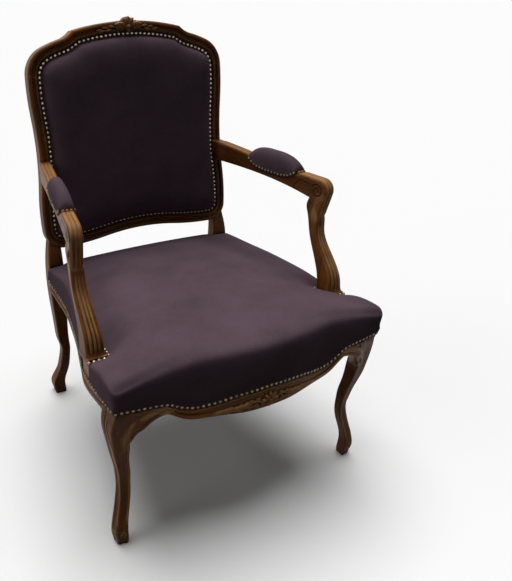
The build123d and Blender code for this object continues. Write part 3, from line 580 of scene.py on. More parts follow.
# Seat cushion
def lower_edge(x, y):
    # Height of the cloth's lower edge on the rails
    side = smooth_line(SIDE_NAILS, y)
    if y > SEAT_REAR - 3:
        k = clamp((abs(x) - 205) / 20)
        return (REAR_NAIL_Z * (1 - k) + side * k) - NAIL_EDGE
    if y < -SEAT_CORNER[1] + 2.5:
        return smooth_line(FRONT_NAILS, abs(x)) - NAIL_EDGE
    return side - NAIL_EDGE


def stump_span(z):
    # Front and rear of an arm support at a height
    for (z0, f0, r0), (z1, f1, r1) in zip(STUMP_SIDE, STUMP_SIDE[1:]):
        if z <= z1:
            break
    k = clamp((z - z0) / (z1 - z0))
    return f0 + (f1 - f0) * k, r0 + (r1 - r0) * k


def tuck(p):
    # Cloth draws in round the arm supports and the back stiles
    x, y, z = p
    sign = 1 if x > 0 else -1
    front, rear = stump_span(z)
    if front - TUCK < y < rear + TUCK and abs(x) > PLINTH[0] - TUCK:
        x = sign * (PLINTH[0] - TUCK)
    if y > STILE_FRONT - TUCK and abs(x) > STILE_IN - TUCK:
        if abs(x) - STILE_IN < y - STILE_FRONT:
            x = sign * (STILE_IN - TUCK)
        else:
            y = STILE_FRONT - TUCK
    return Vector((x, y, z))


# Crown of the seat from front to rear: y, height over the rails at the middle and at the sides
SEAT_MIDDLE = [(-356, 54), (-300, 66.8), (-236, 72.8), (-184, 75), (-110, 73.9), (0, 67.9), (130, 51),
               (220, 30), (285, 6.8)]
SEAT_SIDE = [(-356, 29), (-300, 28), (-250, 25.5), (-236, 23), (-190, 13), (-140, 12), (-95, 14), (-65, 19),
             (-22, 24), (34, 27.5), (91, 27), (140, 24), (176, 20), (220, 14), (285, 6)]
# Where the seat is pulled down round the supports and stiles: block, reach and height over the rails
SEAT_DIPS = ((PLINTH, 24.0, 6.5), ((STILE_IN, 300.0, STILE_FRONT, 300.0), 11.0, 14.0))
WALL_SHARES = (0.0, 0.1, 0.22, 0.36, 0.5, 0.64, 0.78, 0.9, 1.0)
ROLL_TURNS = (9, 18, 27, 36, 45, 54, 63, 71)
TOP_SHARES = (0.993, 0.983, 0.97, 0.955, 0.935, 0.905, 0.87, 0.82, 0.76, 0.69, 0.61, 0.52, 0.42, 0.31,
              0.2, 0.1)
EASE_FROM = 5
EASE_PASSES = 10
SEAT_UNDER = RAIL_TOP + 3.6
# Where the front of the seat begins and how soon it is full, and how far its corners are crisp and drawn out
FRONT_FROM = 190.0
FRONT_FADE = 100.0
CRISP_REACH = 95.0
TIP_REACH = 50.0
# How far inside the edge the way inwards is read
PROBE = 10.0
# Roll of the edge, swell and lean of its wall: at the sides, what the front adds, and at the corners
ROLL_SIDE = 8.0
ROLL_FRONT = 12.0
ROLL_CORNER = 9.0
SWELL_SIDE = 0.8
SWELL_FRONT = 3.0
LEAN_FRONT = 3.0
LEAN_CORNER = 4.0


def reach_of(x, y, box, size):
    # One at the edge of an upright block, fading to nothing at a distance from it
    dx = max(box[0] - abs(x), 0.0, abs(x) - box[1])
    dy = max(box[2] - y, 0.0, y - box[3])
    return hill(hypot(dx, dy), size)


def seat_top(x, y):
    middle = RAIL_TOP + smooth_line(SEAT_MIDDLE, y) + CLOTH_OUT
    side = RAIL_TOP + smooth_line(SEAT_SIDE, y) + CLOTH_OUT
    reach = side_x(min(max(y, -SEAT_CORNER[1]), SEAT_REAR))
    z = middle - (middle - side) * (x / reach) ** 2
    for box, size, rest in SEAT_DIPS:
        z += min(RAIL_TOP + rest - z, 0.0) * reach_of(x, y, box, size)
    return z


def seat_cushion():
    edge = seat_ring(0.0)
    ways = [((b[0] - a[0]) / PROBE, (b[1] - a[1]) / PROBE) for a, b in zip(edge, seat_ring(PROBE))]
    count = len(edge)

    def moved(i, d):
        return (edge[i][0] + ways[i][0] * d, edge[i][1] + ways[i][1] * d)

    roll = []
    swell = []
    lean = []
    crest = []
    low = []
    for i, (x, y) in enumerate(edge):
        front = clamp((-y - FRONT_FROM) / FRONT_FADE)
        away = hypot(abs(x) - SEAT_CORNER[0], y + SEAT_CORNER[1])
        crisp = hill(away, CRISP_REACH)
        tip = hill(away, TIP_REACH)
        roll.append((ROLL_SIDE + ROLL_FRONT * front) * (1 - crisp) + ROLL_CORNER * crisp)
        swell.append((SWELL_SIDE + SWELL_FRONT * front) * (1 - 0.7 * tip))
        lean.append(LEAN_FRONT * front + LEAN_CORNER * tip)
        crest.append(seat_top(*moved(i, roll[i] * 0.8 - CLOTH_OUT - lean[i])))
        low.append(lower_edge(x, y))

    def wall(k, d):
        ring = []
        for i in range(count):
            bulge = swell[i] * sin(pi * k) ** 0.8 if k > 0 else 0.0
            z = low[i] + (crest[i] - roll[i] - low[i]) * k
            ring.append(tuck((*moved(i, d - bulge - lean[i] * k), z)))
        return ring

    rings = [wall(0.0, -0.2)] + [wall(k, -CLOTH_OUT) for k in WALL_SHARES]
    for turn in ROLL_TURNS:
        a = radians(turn)
        rings.append([tuck((*moved(i, -CLOTH_OUT - lean[i] + roll[i] * (1 - cos(a))),
                            crest[i] - roll[i] * (1 - sin(a)))) for i in range(count)])
    for share in TOP_SHARES:
        ring = []
        for i in range(count):
            x, y = drawn(moved(i, -CLOTH_OUT - lean[i] + roll[i]), SEAT_MID, share)
            ring.append(tuck((x, y, seat_top(x, y) + soft_wave((x, y, 1.0), 70.0, 1.0) * (1 - share))))
        rings.append(ring)
    # The cloth evens out over the stuffing
    for turn in range(EASE_PASSES):
        kept = [list(ring) for ring in rings]
        for r in range(EASE_FROM, len(rings) - 1):
            for i in range(count):
                around = kept[r - 1][i] + kept[r + 1][i] + kept[r][i - 1] + kept[r][(i + 1) % count]
                here = kept[r][i]
                ease = 0.5 * (1 - reach_of(here.x, here.y, PLINTH, 16.0))
                rings[r][i] = tuck(here * (1 - ease) + around * (ease / 4))
    under = [tuck((x, y, SEAT_UNDER)) for x, y in seat_ring(-0.2)]
    return ring_mesh("seat_pad", [under] + rings, CLOTH, Vector((*SEAT_MID, SEAT_UNDER)),
                     Vector((*SEAT_MID, seat_top(*SEAT_MID))))


# Arm pads
PAD_STEPS = 34
PAD_ROWS = 21
PAD_SHOULDER = 0.72
PAD_BASE_ROWS = 6
PAD_END_Z = 662.0
PAD_CROWN = 26.0
PAD_SWELL = 1.6


def pad_low(e):
    # Lower edge of a pad's cloth, by the distance from the pad's middle
    return PAD_FLOOR - (PAD_FLOOR - PAD_SKIRT) * (1 - e ** 4.0)


def arm_pad(sign, tag):
    rings = []
    foot = ARM_W / 2 + CLOTH_OUT
    for i in range(PAD_STEPS + 1):
        k = i / PAD_STEPS
        e = abs(2 * k - 1)
        s = PAD_START + 0.3 + k * (PAD_SHOWN - 0.6)
        low = pad_low(e)
        top = PAD_END_Z + PAD_CROWN * (1 - e ** 3.2) ** 0.75
        shoulder = low + (top - low) * 0.42
        half = foot + PAD_SWELL * (1 - e ** 3)
        ring = []
        for r in range(PAD_ROWS):
            t = r / (PAD_ROWS - 1) * 2 - 1
            a = abs(t)
            side = 1 if t > 0 else -1
            if a > PAD_SHOULDER:
                q = (1 - a) / (1 - PAD_SHOULDER)
                w = side * (foot + (half - foot) * sin(q * pi / 2))
                z = low + (shoulder - low) * q
            else:
                ang = a / PAD_SHOULDER * pi / 2
                w = side * half * sin(ang) ** 0.92
                z = shoulder + (top - shoulder) * cos(ang) ** 0.9
            ring.append(on_arm(s, z, w, sign))
        for r in range(1, PAD_BASE_ROWS):
            w = (foot - 0.15) * (1 - 2 * r / PAD_BASE_ROWS)
            ring.append(on_arm(s, max(low, PAD_FLOOR + 0.15), w, sign))
        rings.append(ring)
    return ring_mesh("pad_" + tag, rings[::sign], CLOTH)


back_pad = back_cushion()
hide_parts("back_cushion")
seat_pad = seat_cushion()
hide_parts("seat_cushion")
for sign, tag in SIDES:
    pad = arm_pad(sign, tag)
    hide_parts("arm_pad_" + tag)


# Side rails and rear corner blocks, drawn in behind the arm supports
def inner_side(y):
    return min(side_x(y) - SIDE_RAIL_LEAST, even_side_x(y) - SIDE_RAIL_T)


def side_rail(sign, tag):
    rings = []
    for y in even(POST_Y + 0.1, STILE_FRONT - 0.1, SIDE_RAIL_ROWS):
        out = side_x(y)
        inner = inner_side(y)
        low = smooth_line(SIDE_EDGE, y)
        border = low + BORDER_H
        section = [(inner, RAIL_TOP), (out, RAIL_TOP), (out, border + 1.0), (out + BORDER_OUT * 0.7, border),
                   (out + BORDER_OUT, border - 2.0), (out + BORDER_OUT, low + 1.5), (out + 0.7, low),
                   (inner, low)]
        rings.append([Vector((sign * x, y, z)) for x, z in section])
    obj = ring_mesh("rail_side_" + tag, rings[::-sign], WOOD_Y, smooth=False)
    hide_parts("side_seat_rail_" + tag)


def rear_block(sign, tag):
    low = RAIL_TOP - BLOCK_DROP
    rear = SEAT_REAR - REAR_RAIL_T - 0.1
    front = STILE_FRONT - 0.2
    plan = [(STILE_IN - BLOCK_REACH, rear), (inner_side(181.0) - 0.1, 181.0),
            (inner_side(212.0) - 0.1, 212.0), (inner_side(242.0) - 0.1, front), (STILE_IN - 0.1, front),
            (STILE_IN - 0.1, rear)]
    rings = [[Vector((sign * x, y, z)) for x, y in plan] for z in (low, low + BLOCK_H)]
    obj = ring_mesh("block_rear_" + tag, rings[::sign], HIDDEN, smooth=False)
    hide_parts("rear_corner_block_" + tag)


for sign, tag in SIDES:
    side_rail(sign, tag)
    rear_block(sign, tag)

# Webbing of the seat and the back
STRAP_W = 50.0
STRAP_T = 1.1
STRAP_STEP = 84.0
STRAP_ROWS = 73
STRAP_PARTS = 6
WEB_SWING = 0.6
WEB_Z = RAIL_TOP + 1.2
BACK_WEB_Q = -RABBET_DEPTH + 1.2
BACK_WEB_IN = 35.5
length_xs = [(i - 2) * STRAP_STEP for i in range(5)]
cross_ys = [-78 + i * STRAP_STEP for i in range(4)]
upright_us = (-110.0, 0.0, 110.0)
level_vs = (120.0, 235.0, 350.0)


def add_strap(work, place, centre, run):
    # One band of webbing along its run of (distance, height), given by a placing function
    across = [centre + STRAP_W * (j / STRAP_PARTS - 0.5) for j in range(STRAP_PARTS + 1)]
    rings = []
    for t in even(run[0][0], run[-1][0], STRAP_ROWS):
        h = smooth_line(run, t)
        upper = [place(t, w, h + STRAP_T / 2) for w in across]
        lower = [place(t, w, h - STRAP_T / 2) for w in across]
        rings.append(upper + lower[::-1])
    first = len(work[0])
    n = len(rings[0])
    add_rings(work, rings)
    for a, order in ((first, 1), (first + (STRAP_ROWS - 1) * n, -1)):
        for j in range(STRAP_PARTS):
            work[1].append((a + j, a + n - 1 - j, a + n - 2 - j, a + j + 1)[::order])


def woven_run(start, end, crossings, phase):
    # Heights along one band, over and under the bands it crosses
    run = [(start, -WEB_SWING)]
    for i, c in enumerate(crossings):
        run.append((c, WEB_SWING if (i + phase) % 2 else -WEB_SWING))
    return run + [(end, -WEB_SWING)]


def webbing(name, node, bands, place):
    work = ([], [])
    for centre, run in bands:
        add_strap(work, place, centre, run)
    obj = new_mesh(name, work, JUTE, smooth=False)
    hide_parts(node)


def strap_edges(middle):
    return [middle + k * STRAP_W / 2 for k in (-1, 0, 1)]


bands = []
for i, x in enumerate(length_xs):
    front = max(front_y(x - STRAP_W / 2), front_y(x + STRAP_W / 2)) + 8
    bands.append((x, woven_run(front, SEAT_REAR - 6, cross_ys, i)))
webbing("webbing_lengthwise", "seat_webbing_lengthwise", bands, lambda t, w, h: Vector((w, t, WEB_Z + h)))
bands = []
for i, y in enumerate(cross_ys):
    reach = min(side_x(edge) for edge in strap_edges(y)) - 6
    bands.append((y, woven_run(-reach, reach, length_xs, i + 1)))
webbing("webbing_crosswise", "seat_webbing_crosswise", bands, lambda t, w, h: Vector((t, w, WEB_Z + h)))
inner_arcs = inset(back_arcs, BACK_WEB_IN)
bands = []
for i, u in enumerate(upright_us):
    edges = (abs(u) + STRAP_W / 2, max(abs(u) - STRAP_W / 2, 0))
    low = max(on_arcs(inner_arcs[LOW_ARCS], 0, edge) for edge in edges)
    high = min(on_arcs(inner_arcs[CREST_ARCS], 0, edge) for edge in edges)
    bands.append((u, woven_run(low, high, level_vs, i)))
webbing("webbing_back_upright", "back_webbing_upright", bands, lambda t, w, h: on_back(w, t, BACK_WEB_Q + h))
bands = []
for i, v in enumerate(level_vs):
    reach = min(on_arcs(inner_arcs[FLANK_ARCS], 1, edge) for edge in strap_edges(v))
    bands.append((v, woven_run(-reach, reach, upright_us, i + 1)))
webbing("webbing_back_level", "back_webbing_crosswise", bands, lambda t, w, h: on_back(t, w, BACK_WEB_Q + h))

# Burlap and the outside cover
SHEET_SHARES = (1.0, 0.985, 0.95, 0.9, 0.8, 0.68, 0.55, 0.42, 0.28, 0.14)
BURLAP_T = 0.6
BURLAP_Z = RAIL_TOP + 2.8
BURLAP_Q = -RABBET_DEPTH + 2.8
COVER_T = 1.3
COVER_SLACK = -0.6


def thin_sheet(name, node, ring, place, mid, thick, hollow, material):
    # A flat cloth from a ring to its middle, with a little slack, closed round its edge
    rings = []
    for face, shares in ((1, SHEET_SHARES[::-1]), (-1, SHEET_SHARES)):
        for k in shares:
            line = []
            for x, y in [drawn(p, mid, k) for p in ring]:
                slack = hollow * (1 - k ** 2.5) + soft_wave((x, y, 9.0), 45.0, 0.25) * (1 - k ** 6)
                line.append(place(x, y, slack + face * thick / 2))
            rings.append(line)
    obj = ring_mesh(name, rings, material, place(*mid, hollow + thick / 2),
                    place(*mid, hollow - thick / 2))
    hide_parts(node)


tucked = [tuck((x, y, BURLAP_Z)) for x, y in seat_ring(10.0)]
thin_sheet("burlap_seat", "seat_burlap", [(p.x, p.y) for p in tucked],
           lambda x, y, h: Vector((x, y, BURLAP_Z + h)), SEAT_MID, BURLAP_T, 0.0, JUTE)
thin_sheet("burlap_back", "back_burlap", back_ring(35.2), lambda x, y, h: on_back(x, y, BURLAP_Q + h),
           BACK_MID, BURLAP_T, 0.0, JUTE)
thin_sheet("cover_outside_back", "outside_back_cover", back_ring(REAR_RABBET_IN + 0.3),
           lambda x, y, h: on_back(x, y, REAR_Q - 0.8 - h), BACK_MID, COVER_T, COVER_SLACK, CLOTH)


# Carved ornament
LEAF_STEPS = 16
LEAF_PARTS = 10
LEAF_VEIN = 0.16
SCROLL_PARTS = 8
BEAD_SECTION = ((-1.0, None), (-0.86, 0.35), (-0.5, 0.82), (0.0, 1.0), (0.5, 0.82), (0.86, 0.35),
                (1.0, None))
BEAD_SUNK = -0.7
DOME_ROWS = ((1.0, -0.8), (0.98, 0.3), (0.86, 0.62), (0.64, 0.85), (0.34, 0.97))
DOME_PARTS = 16
UP = Vector((0, 0, 1))


def add_leaf(work, base, along, normal, length, width, rise, curl, lobes, tip=0.0):
    # A carved leaf with a sunk vein: it starts at base, lies along a direction and may curl in its plane
    along = along.normalized()
    normal = normal.normalized()
    side = normal.cross(along)
    step = length / LEAF_STEPS
    rings = []
    x = 0.0
    y = 0.0
    for i in range(LEAF_STEPS + 1):
        u = i / LEAF_STEPS
        ang = curl * u
        if i:
            x += step * cos(ang)
            y += step * sin(ang)
        half = width / 2 * sin(pi * (0.04 + 0.93 * u)) ** 0.75 * (1 + 0.15 * cos(2 * pi * lobes * u))
        lift = rise * sin(pi * (0.10 + 0.84 * u)) ** 0.7 + tip * u ** 3
        ring = []
        for j in range(LEAF_PARTS + 1):
            v = 2 * j / LEAF_PARTS - 1
            h = lift * (1 - abs(v) ** 2.6) - 0.34 * rise * hill(v, LEAF_VEIN) * sin(pi * u)
            h -= 0.12 * rise * abs(sin(2 * pi * lobes * u)) * abs(v)
            h = h - 0.8 if abs(v) > 0.99 else h
            px = x - sin(ang) * half * v
            py = y + cos(ang) * half * v
            ring.append(base + along * px + side * py + normal * h)
        rings.append(ring)
    add_rings(work, rings, "flat", "flat", turned=True)


def add_scroll(work, centre, ax, ay, normal, r0, r1, turns, thick, start):
    # A spiral bead on a face, half sunk in it and thinning towards the eye
    steps = int(turns * 30)
    rings = []
    for i in range(steps + 1):
        k = i / steps
        ang = start + 2 * pi * turns * k
        r = r0 + (r1 - r0) * k ** 0.8
        t = thick * (1 - 0.35 * k)
        if i < 3 or i > steps - 3:
            t = t * 0.5
        out = ax * cos(ang) + ay * sin(ang)
        ways = [2 * pi * j / SCROLL_PARTS for j in range(SCROLL_PARTS)]
        rings.append([centre + out * (r + t * cos(a)) + normal * (t * sin(a)) for a in ways])
    add_rings(work, rings, "flat", "flat")


def add_bead(work, line, halves, rises):
    # A half-round bead along a line of (point, normal), sunk a little and thinning at its ends
    last = len(line) - 1
    rings = []
    for i, (p, n) in enumerate(line):
        near = [line[j][1] for j in range(max(i - 2, 0), min(i + 3, last + 1))]
        up = sum(near, Vector((0, 0, 0))).normalized()
        ahead = line[min(i + 1, last)][0] - line[max(i - 1, 0)][0]
        side = up.cross(ahead).normalized()
        fade = max(0.15, min(1.0, i / 4, (last - i) / 4))
        half = halves[i] if isinstance(halves, list) else halves
        rise = rises[i] if isinstance(rises, list) else rises
        ring = []
        for c, h in BEAD_SECTION:
            lift = BEAD_SUNK if h is None else h * rise * fade
            ring.append(p + side * (c * half * fade ** 0.5) + up * lift)
        rings.append(ring)
    add_rings(work, rings, "flat", "flat", turned=True)


def add_boss(work, centre, normal, side, rows, top, parts, long=1.0):
    # A round head on a face: rows of radius and height, drawn together at its top
    ahead = normal.cross(side)
    turns = [2 * pi * j / parts for j in range(parts)]
    rings = [[centre + side * (cos(a) * r) + ahead * (sin(a) * r * long) + normal * h for a in turns]
             for r, h in rows]
    add_rings(work, rings, "flat", centre + normal * top)


def add_dome(work, centre, normal, radius, height, long=1.0):
    n = normal.normalized()
    side = n.orthogonal().normalized()
    if abs(n.z) < 0.9:
        side = (Vector((1, 0, 0)) - n * n.x).normalized()
    rows = [(radius * k, h * height if h > 0 else h) for k, h in DOME_ROWS]
    add_boss(work, centre, n, side, rows, height, DOME_PARTS, long)


def add_eye(work, centre, ax, ay, normal, scroll, start, boss):
    # A scroll of (outer and inner radius, turns, thickness) round a boss of (radius, height)
    add_scroll(work, centre, ax, ay, normal, *scroll, radians(start))
    add_dome(work, centre, normal, *boss)


def add_shell(work, spot, up, out, step, wide, middle, leaf):
    # Five leaves spread like a fan, with their feet round a middle height
    for i in range(-2, 3):
        a = radians(step * i)
        base = spot(sin(a) * wide, middle + cos(a) * 4, 1.4)
        add_leaf(work, base, Vector((sin(a), 0, 0)) + up * cos(a), out, *leaf)


# Crest: scrolls as (u, drop, radius, thickness), leaves as (u, length, width, rise, drop, tilt)
CREST_SCROLLS = ((16, -11.0, 6.6, 2.2), (27, -12.5, 4.8, 1.8))
CREST_LEAVES = ((33, 19, 7.4, 3.2, -12.5, 0.30), (42, 18, 6.8, 3.0, -16.5, -0.30),
                (50, 17, 6.2, 2.8, -13.0, 0.26), (59, 16, 5.6, 2.5, -16.5, -0.26),
                (66, 15, 5.0, 2.2, -14.5, 0.04))
SHELL_V = BACK_TOP - 8.0


def crest_carving():
    work = ([], [])

    def way(du, dv):
        return Vector((du, 0, 0)) + back_up * dv

    add_shell(work, on_back, back_up, back_out, 36, 5, SHELL_V - 4, (17.0, 11.0, 4.6, 0.0, 1.0, 2.4))
    add_dome(work, on_back(0, SHELL_V - 5, 1.6), back_out, 5.0, 6.4)
    add_leaf(work, on_back(0, SHELL_V - 9, 0.6), way(0, -1), back_out, 8.5, 9.0, 3.6, 0.0, 1.0)
    for sign in (1, -1):
        for u, drop, r, thick in CREST_SCROLLS:
            eye = on_back(sign * u, SHELL_V + 8 + drop, 1.2)
            scroll = (r, 1.6, 1.4, thick)
            add_eye(work, eye, Vector((sign, 0, 0)), back_up, back_out, scroll, 200, (1.8, 2.6))
        base = on_back(sign * 11, SHELL_V - 1, 1.0)
        add_leaf(work, base, way(sign, 0.25), back_out, 24, 9.5, 4.2, -0.4 * sign, 2.0, 1.5)
        for u, length, wide, rise, drop, tilt in CREST_LEAVES:
            base = on_back(sign * u, on_arcs(back_arcs[CREST_ARCS], 0, u) + drop, -1.6)
            along = way(sign, tilt - u / CREST_R)
            add_leaf(work, base, along, back_out, length, wide, rise, -sign * tilt, 2.0)
    new_mesh("carving_crest", work, WOOD_X)


# Front rail: scrolls as (x, z, radius), leaves as (x, z, length, width, rise, tilt, curl)
RAIL_SCROLLS = ((15, 316, 6.6), (27, 325, 5.2), (31, 313, 5.6))
RAIL_LEAVES = ((32, 322, 30, 12, 5.0, 0.20, -0.6), (36, 313, 32, 13, 5.0, 0.02, 0.5),
               (54, 318, 30, 12, 4.6, 0.12, -0.6), (58, 311, 30, 11, 4.2, 0.02, 0.5),
               (76, 317, 28, 11, 4.0, 0.10, -0.5), (82, 312, 26, 9, 3.6, 0.02, 0.45),
               (98, 315, 24, 8, 3.0, 0.06, -0.4))
RAIL_BEAD_X = 286.0
RAIL_BEAD_DROP = 10.5


def rail_carving():
    work = ([], [])
    out = Vector((0, -1, 0))

    def spot(x, z, lift):
        return Vector((x, front_y(x) - lift, z))

    add_shell(work, spot, UP, out, 40, 4, 318, (15.0, 10.0, 5.0, 0.0, 1.0, 1.5))
    add_dome(work, spot(0, 316, 1.0), out, 5.4, 7.4, 1.15)
    add_leaf(work, spot(0, 313, 1.0), -UP, out, 12.0, 10.0, 4.4, 0.0, 1.0)
    for sign in (1, -1):
        for x, z, r in RAIL_SCROLLS:
            scroll = (r, 1.6, 1.4, 2.1)
            add_eye(work, spot(sign * x, z, 1.6), Vector((sign, 0, 0)), UP, out, scroll, 190, (1.9, 2.8))
        for x, z, length, wide, rise, tilt, curl in RAIL_LEAVES:
            base = spot(sign * x, z, 1.2)
            along = spot(sign * (x + 10), z + tilt * 10, 1.2) - base
            face = Vector((along.y * sign, -abs(along.x), 0))
            add_leaf(work, base, along, face, length, wide, rise, curl * sign, 3.0)
    line = []
    for x in even(-RAIL_BEAD_X, RAIL_BEAD_X, 150):
        slope = (front_y(x + 1) - front_y(x - 1)) / 2
        point = Vector((x, front_y(x), smooth_line(FRONT_NAILS, abs(x)) - RAIL_BEAD_DROP))
        line.append((point, Vector((slope, -1, 0)).normalized()))
    add_bead(work, line, 1.7, 1.5)
    # The rail's carving takes the lighter walnut: painted light
    new_mesh("carving_front_rail", work, WOOD_FRONT_PAINTED_LIGHT)


# Ornament that is laid on the solids by straight lines cast at them
def surface_of(names, more=()):
    # The named frame pieces, and others made here, as one surface
    verts = []
    faces = []
    for node in [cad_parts[name] for name in names] + list(more):
        base = len(verts)
        verts.extend(node.matrix_world @ v.co for v in node.data.vertices)
        faces.extend(tuple(base + i for i in p.vertices) for p in node.data.polygons)
    return BVHTree.FromPolygons(verts, faces)


def touch(tree, start, way):
    # Where a straight line from a point first meets the surface, in millimetres, and the normal there
    found, normal = tree.ray_cast(put(start), Vector(way).normalized())[:2]
    if found is None:
        return None
    return Vector((found.x / MM, found.y / MM - SHIFT_Y, found.z / MM)), normal


def traced(tree, rays):
    # Where each ray of (start, way) meets the surface, without those that miss
    hits = [touch(tree, start, way) for start, way in rays]
    return [hit for hit in hits if hit]


# The throat as (height, distance before the roll's middle), its half section as (share of the width, depth)
THROAT = [(550, 3.0), (562, 8.0), (575, 11.2), (590, 14.8), (604, 18.6), (615, 21.4), (624, 23.2)]
THROAT_STEPS = 24
THROAT_HALF = ((0.82, -24.0), (0.86, -12.0), (0.99, -5.0), (0.93, -1.8), (0.76, -0.4))
REED_SHARES = (-0.56, 0.0, 0.56)
REED_HALF = ARM_W / 2 * 0.25
REED_RISE = 1.7
REED_START = 9.0
REED_STEP = 3
REED_END_Z = 562.0
FOOT_TOP = 548
FOOT_END = 408
FOOT_X = 296.0
FOOT_DEEP = 9.0
FOOT_REED = 0.17
FOOT_SHARES = (-0.42, 0.0, 0.42)
FOOT_SWELL = [(404, 1.2), (425, 3.6), (445, 4.6), (475, 3.2), (515, 1.6), (545, 0.9)]
PAD_END = PAD_START + PAD_L
# Knobs at the front end of each pad: their places across, their place along, radius and height
KNOB_WS = (-8.0, 0.0, 8.0)
KNOB_S = PAD_END - 4.6
KNOB = (4.1, 8.2)
# Where the lines that are cast at the solids start, and their way from the front
ABOVE = 800.0
BEFORE = -480.0
ASIDE = 420.0
ROLL_FROM = 70
THROAT_FROM = 90.0
REAR_WAY = (0, 1, 0)


def arm_throat(sign, tag):
    # The smooth front between the rolled end and the support
    rings = []
    for i, z in enumerate(even(THROAT[0][0], THROAT[-1][0], THROAT_STEPS + 1)):
        off = ROLL_S + smooth_line(THROAT, z)
        half = ARM_W / 2 - 0.3 - 3.4 * max(0.0, 1.0 - 3.0 * i / THROAT_STEPS)
        section = [(-half * k, ds) for k, ds in THROAT_HALF] + [(0.0, 0.4)]
        section += [(half * k, ds) for k, ds in reversed(THROAT_HALF)]
        rings.append([on_arm(off + ds, z, w, sign) for w, ds in section])
    return ring_mesh("throat_arm_" + tag, rings[::sign], WOOD_Z)


def arm_reeds(sign, tag):
    # Three reeds along the arm's top, over its rolled end and down the front of the support
    work = ([], [])
    tree = surface_of(["arm_" + tag, "arm_support_" + tag], [arm_throat(sign, tag)])
    inwards = -Vector((sign * arm_along.x, arm_along.y, 0))

    def from_above(places, w):
        return traced(tree, [(on_arm(s, ABOVE, w, sign), -UP) for s in places])

    for share in REED_SHARES:
        w = share * ARM_W / 2
        add_bead(work, from_above(even(REED_START, PAD_START - 2.0, 40), w), REED_HALF, REED_RISE)
        line = from_above(even(PAD_END + 0.5, ROLL_S, 26), w)
        middle = on_arm(ROLL_S, ROLL_Z, w, sign)
        for turn in even(90, -20, 26)[1:]:
            a = radians(turn)
            start = on_arm(ROLL_S + ROLL_FROM * cos(a), ROLL_Z + ROLL_FROM * sin(a), w, sign)
            line += traced(tree, [(start, middle - start)])
        z = line[-1][0].z - REED_STEP
        while z > REED_END_Z:
            line += traced(tree, [(on_arm(ROLL_S + THROAT_FROM, z, w, sign), inwards)])
            z -= REED_STEP
        add_bead(work, line, REED_HALF, REED_RISE)
    # Slender reeds swelling towards the foot of the support
    for share in FOOT_SHARES:
        line = []
        halves = []
        rises = []
        for z in range(FOOT_TOP, FOOT_END, -REED_STEP):
            deep = touch(tree, (sign * FOOT_X, -ASIDE, z), REAR_WAY)[0].y + FOOT_DEEP
            inner = touch(tree, (0, deep, z), (sign, 0, 0))[0].x
            outer = touch(tree, (sign * ASIDE, deep, z), (-sign, 0, 0))[0].x
            half = abs(outer - inner) / 2
            hit = touch(tree, ((outer + inner) / 2 + sign * share * half, -ASIDE, z), REAR_WAY)
            if hit:
                line.append(hit)
                halves.append(half * FOOT_REED)
                rises.append(smooth_line(FOOT_SWELL, z))
        add_bead(work, line, halves, rises)
    for w in KNOB_WS:
        for point, normal in from_above([KNOB_S], w):
            add_dome(work, point, normal, *KNOB)
    new_mesh("carving_reeds_" + tag, work, WOOD_Y)


VOLUTE_R = 16.5
VOLUTE_EYE = 3.0
VOLUTE_S = ROLL_S - 4.0
VOLUTE_Z = ROLL_Z - 2.0
VOLUTE_START = 160
VOLUTE_TURN = 560
LINES_FROM = 60.0
PANEL_LINE = [(283, 611), (294, 624), (305, 637), (314, 643.5), (324, 642.5), (336, 640.5), (346, 640),
              (354, 637)]


def arm_lines(sign, tag):
    # The cut lines on the arm's sides, a scroll in the rolled end and a line that runs into it, as low beads
    # in near-black wood: painted shade for the shadow in the cuts
    work = ([], [])
    tree = surface_of(["arm_" + tag])
    across = Vector((sign * arm_side.x, arm_side.y, 0))

    def from_aside(places, side):
        return traced(tree, [(on_arm(s, z, side * LINES_FROM, sign), across * -side) for s, z in places])

    for side in (1, -1):
        spiral = []
        for k in even(0.0, 1.0, 90):
            a = radians(VOLUTE_START - VOLUTE_TURN * k)
            r = VOLUTE_R - (VOLUTE_R - VOLUTE_EYE) * k ** 1.15
            spiral.append((VOLUTE_S + r * cos(a), VOLUTE_Z + r * sin(a)))
        add_bead(work, from_aside(spiral, side), 1.7, 0.5)
        panel = [(s, smooth_line(PANEL_LINE, s)) for s in even(PANEL_LINE[0][0], PANEL_LINE[-1][0], 40)]
        add_bead(work, from_aside(panel, side), 1.4, 0.45)
    new_mesh("carving_lines_" + tag, work, WOOD_GROOVE_PAINTED_SHADE)


# The toe's middle, the reach of its outer corner and half its width, on the diagonal
DIAGONAL = sqrt(0.5)
TOE_X = 303.0 + 2.4 * DIAGONAL
TOE_Y = -277.5 - 2.4 * DIAGONAL
TOE_OUT = 18.4 * DIAGONAL
TOE_HALF = 19.4 * DIAGONAL
TOE_Z = 30
TOE_SCROLL = (8.6, 2.8, 1.5, 1.5)
TOE_BOSS = (2.4, 1.8)


def toe_carving(sign, tag):
    work = ([], [])
    outer = Vector((sign * (TOE_X + TOE_OUT), TOE_Y - TOE_OUT, 0))
    for half in (-TOE_HALF, TOE_HALF):
        corner = Vector((sign * (TOE_X + half), TOE_Y + half, 0))
        across = (outer - corner).normalized()
        normal = Vector((across.y, -across.x, 0))
        if normal.dot(Vector((sign, -1, 0))) < 0:
            normal = -normal
        centre = corner.lerp(outer, 0.5) + UP * TOE_Z + normal * 0.3
        add_eye(work, centre, across, UP, normal, TOE_SCROLL, 60, TOE_BOSS)
    new_mesh("carving_toe_" + tag, work, WOOD_Z)


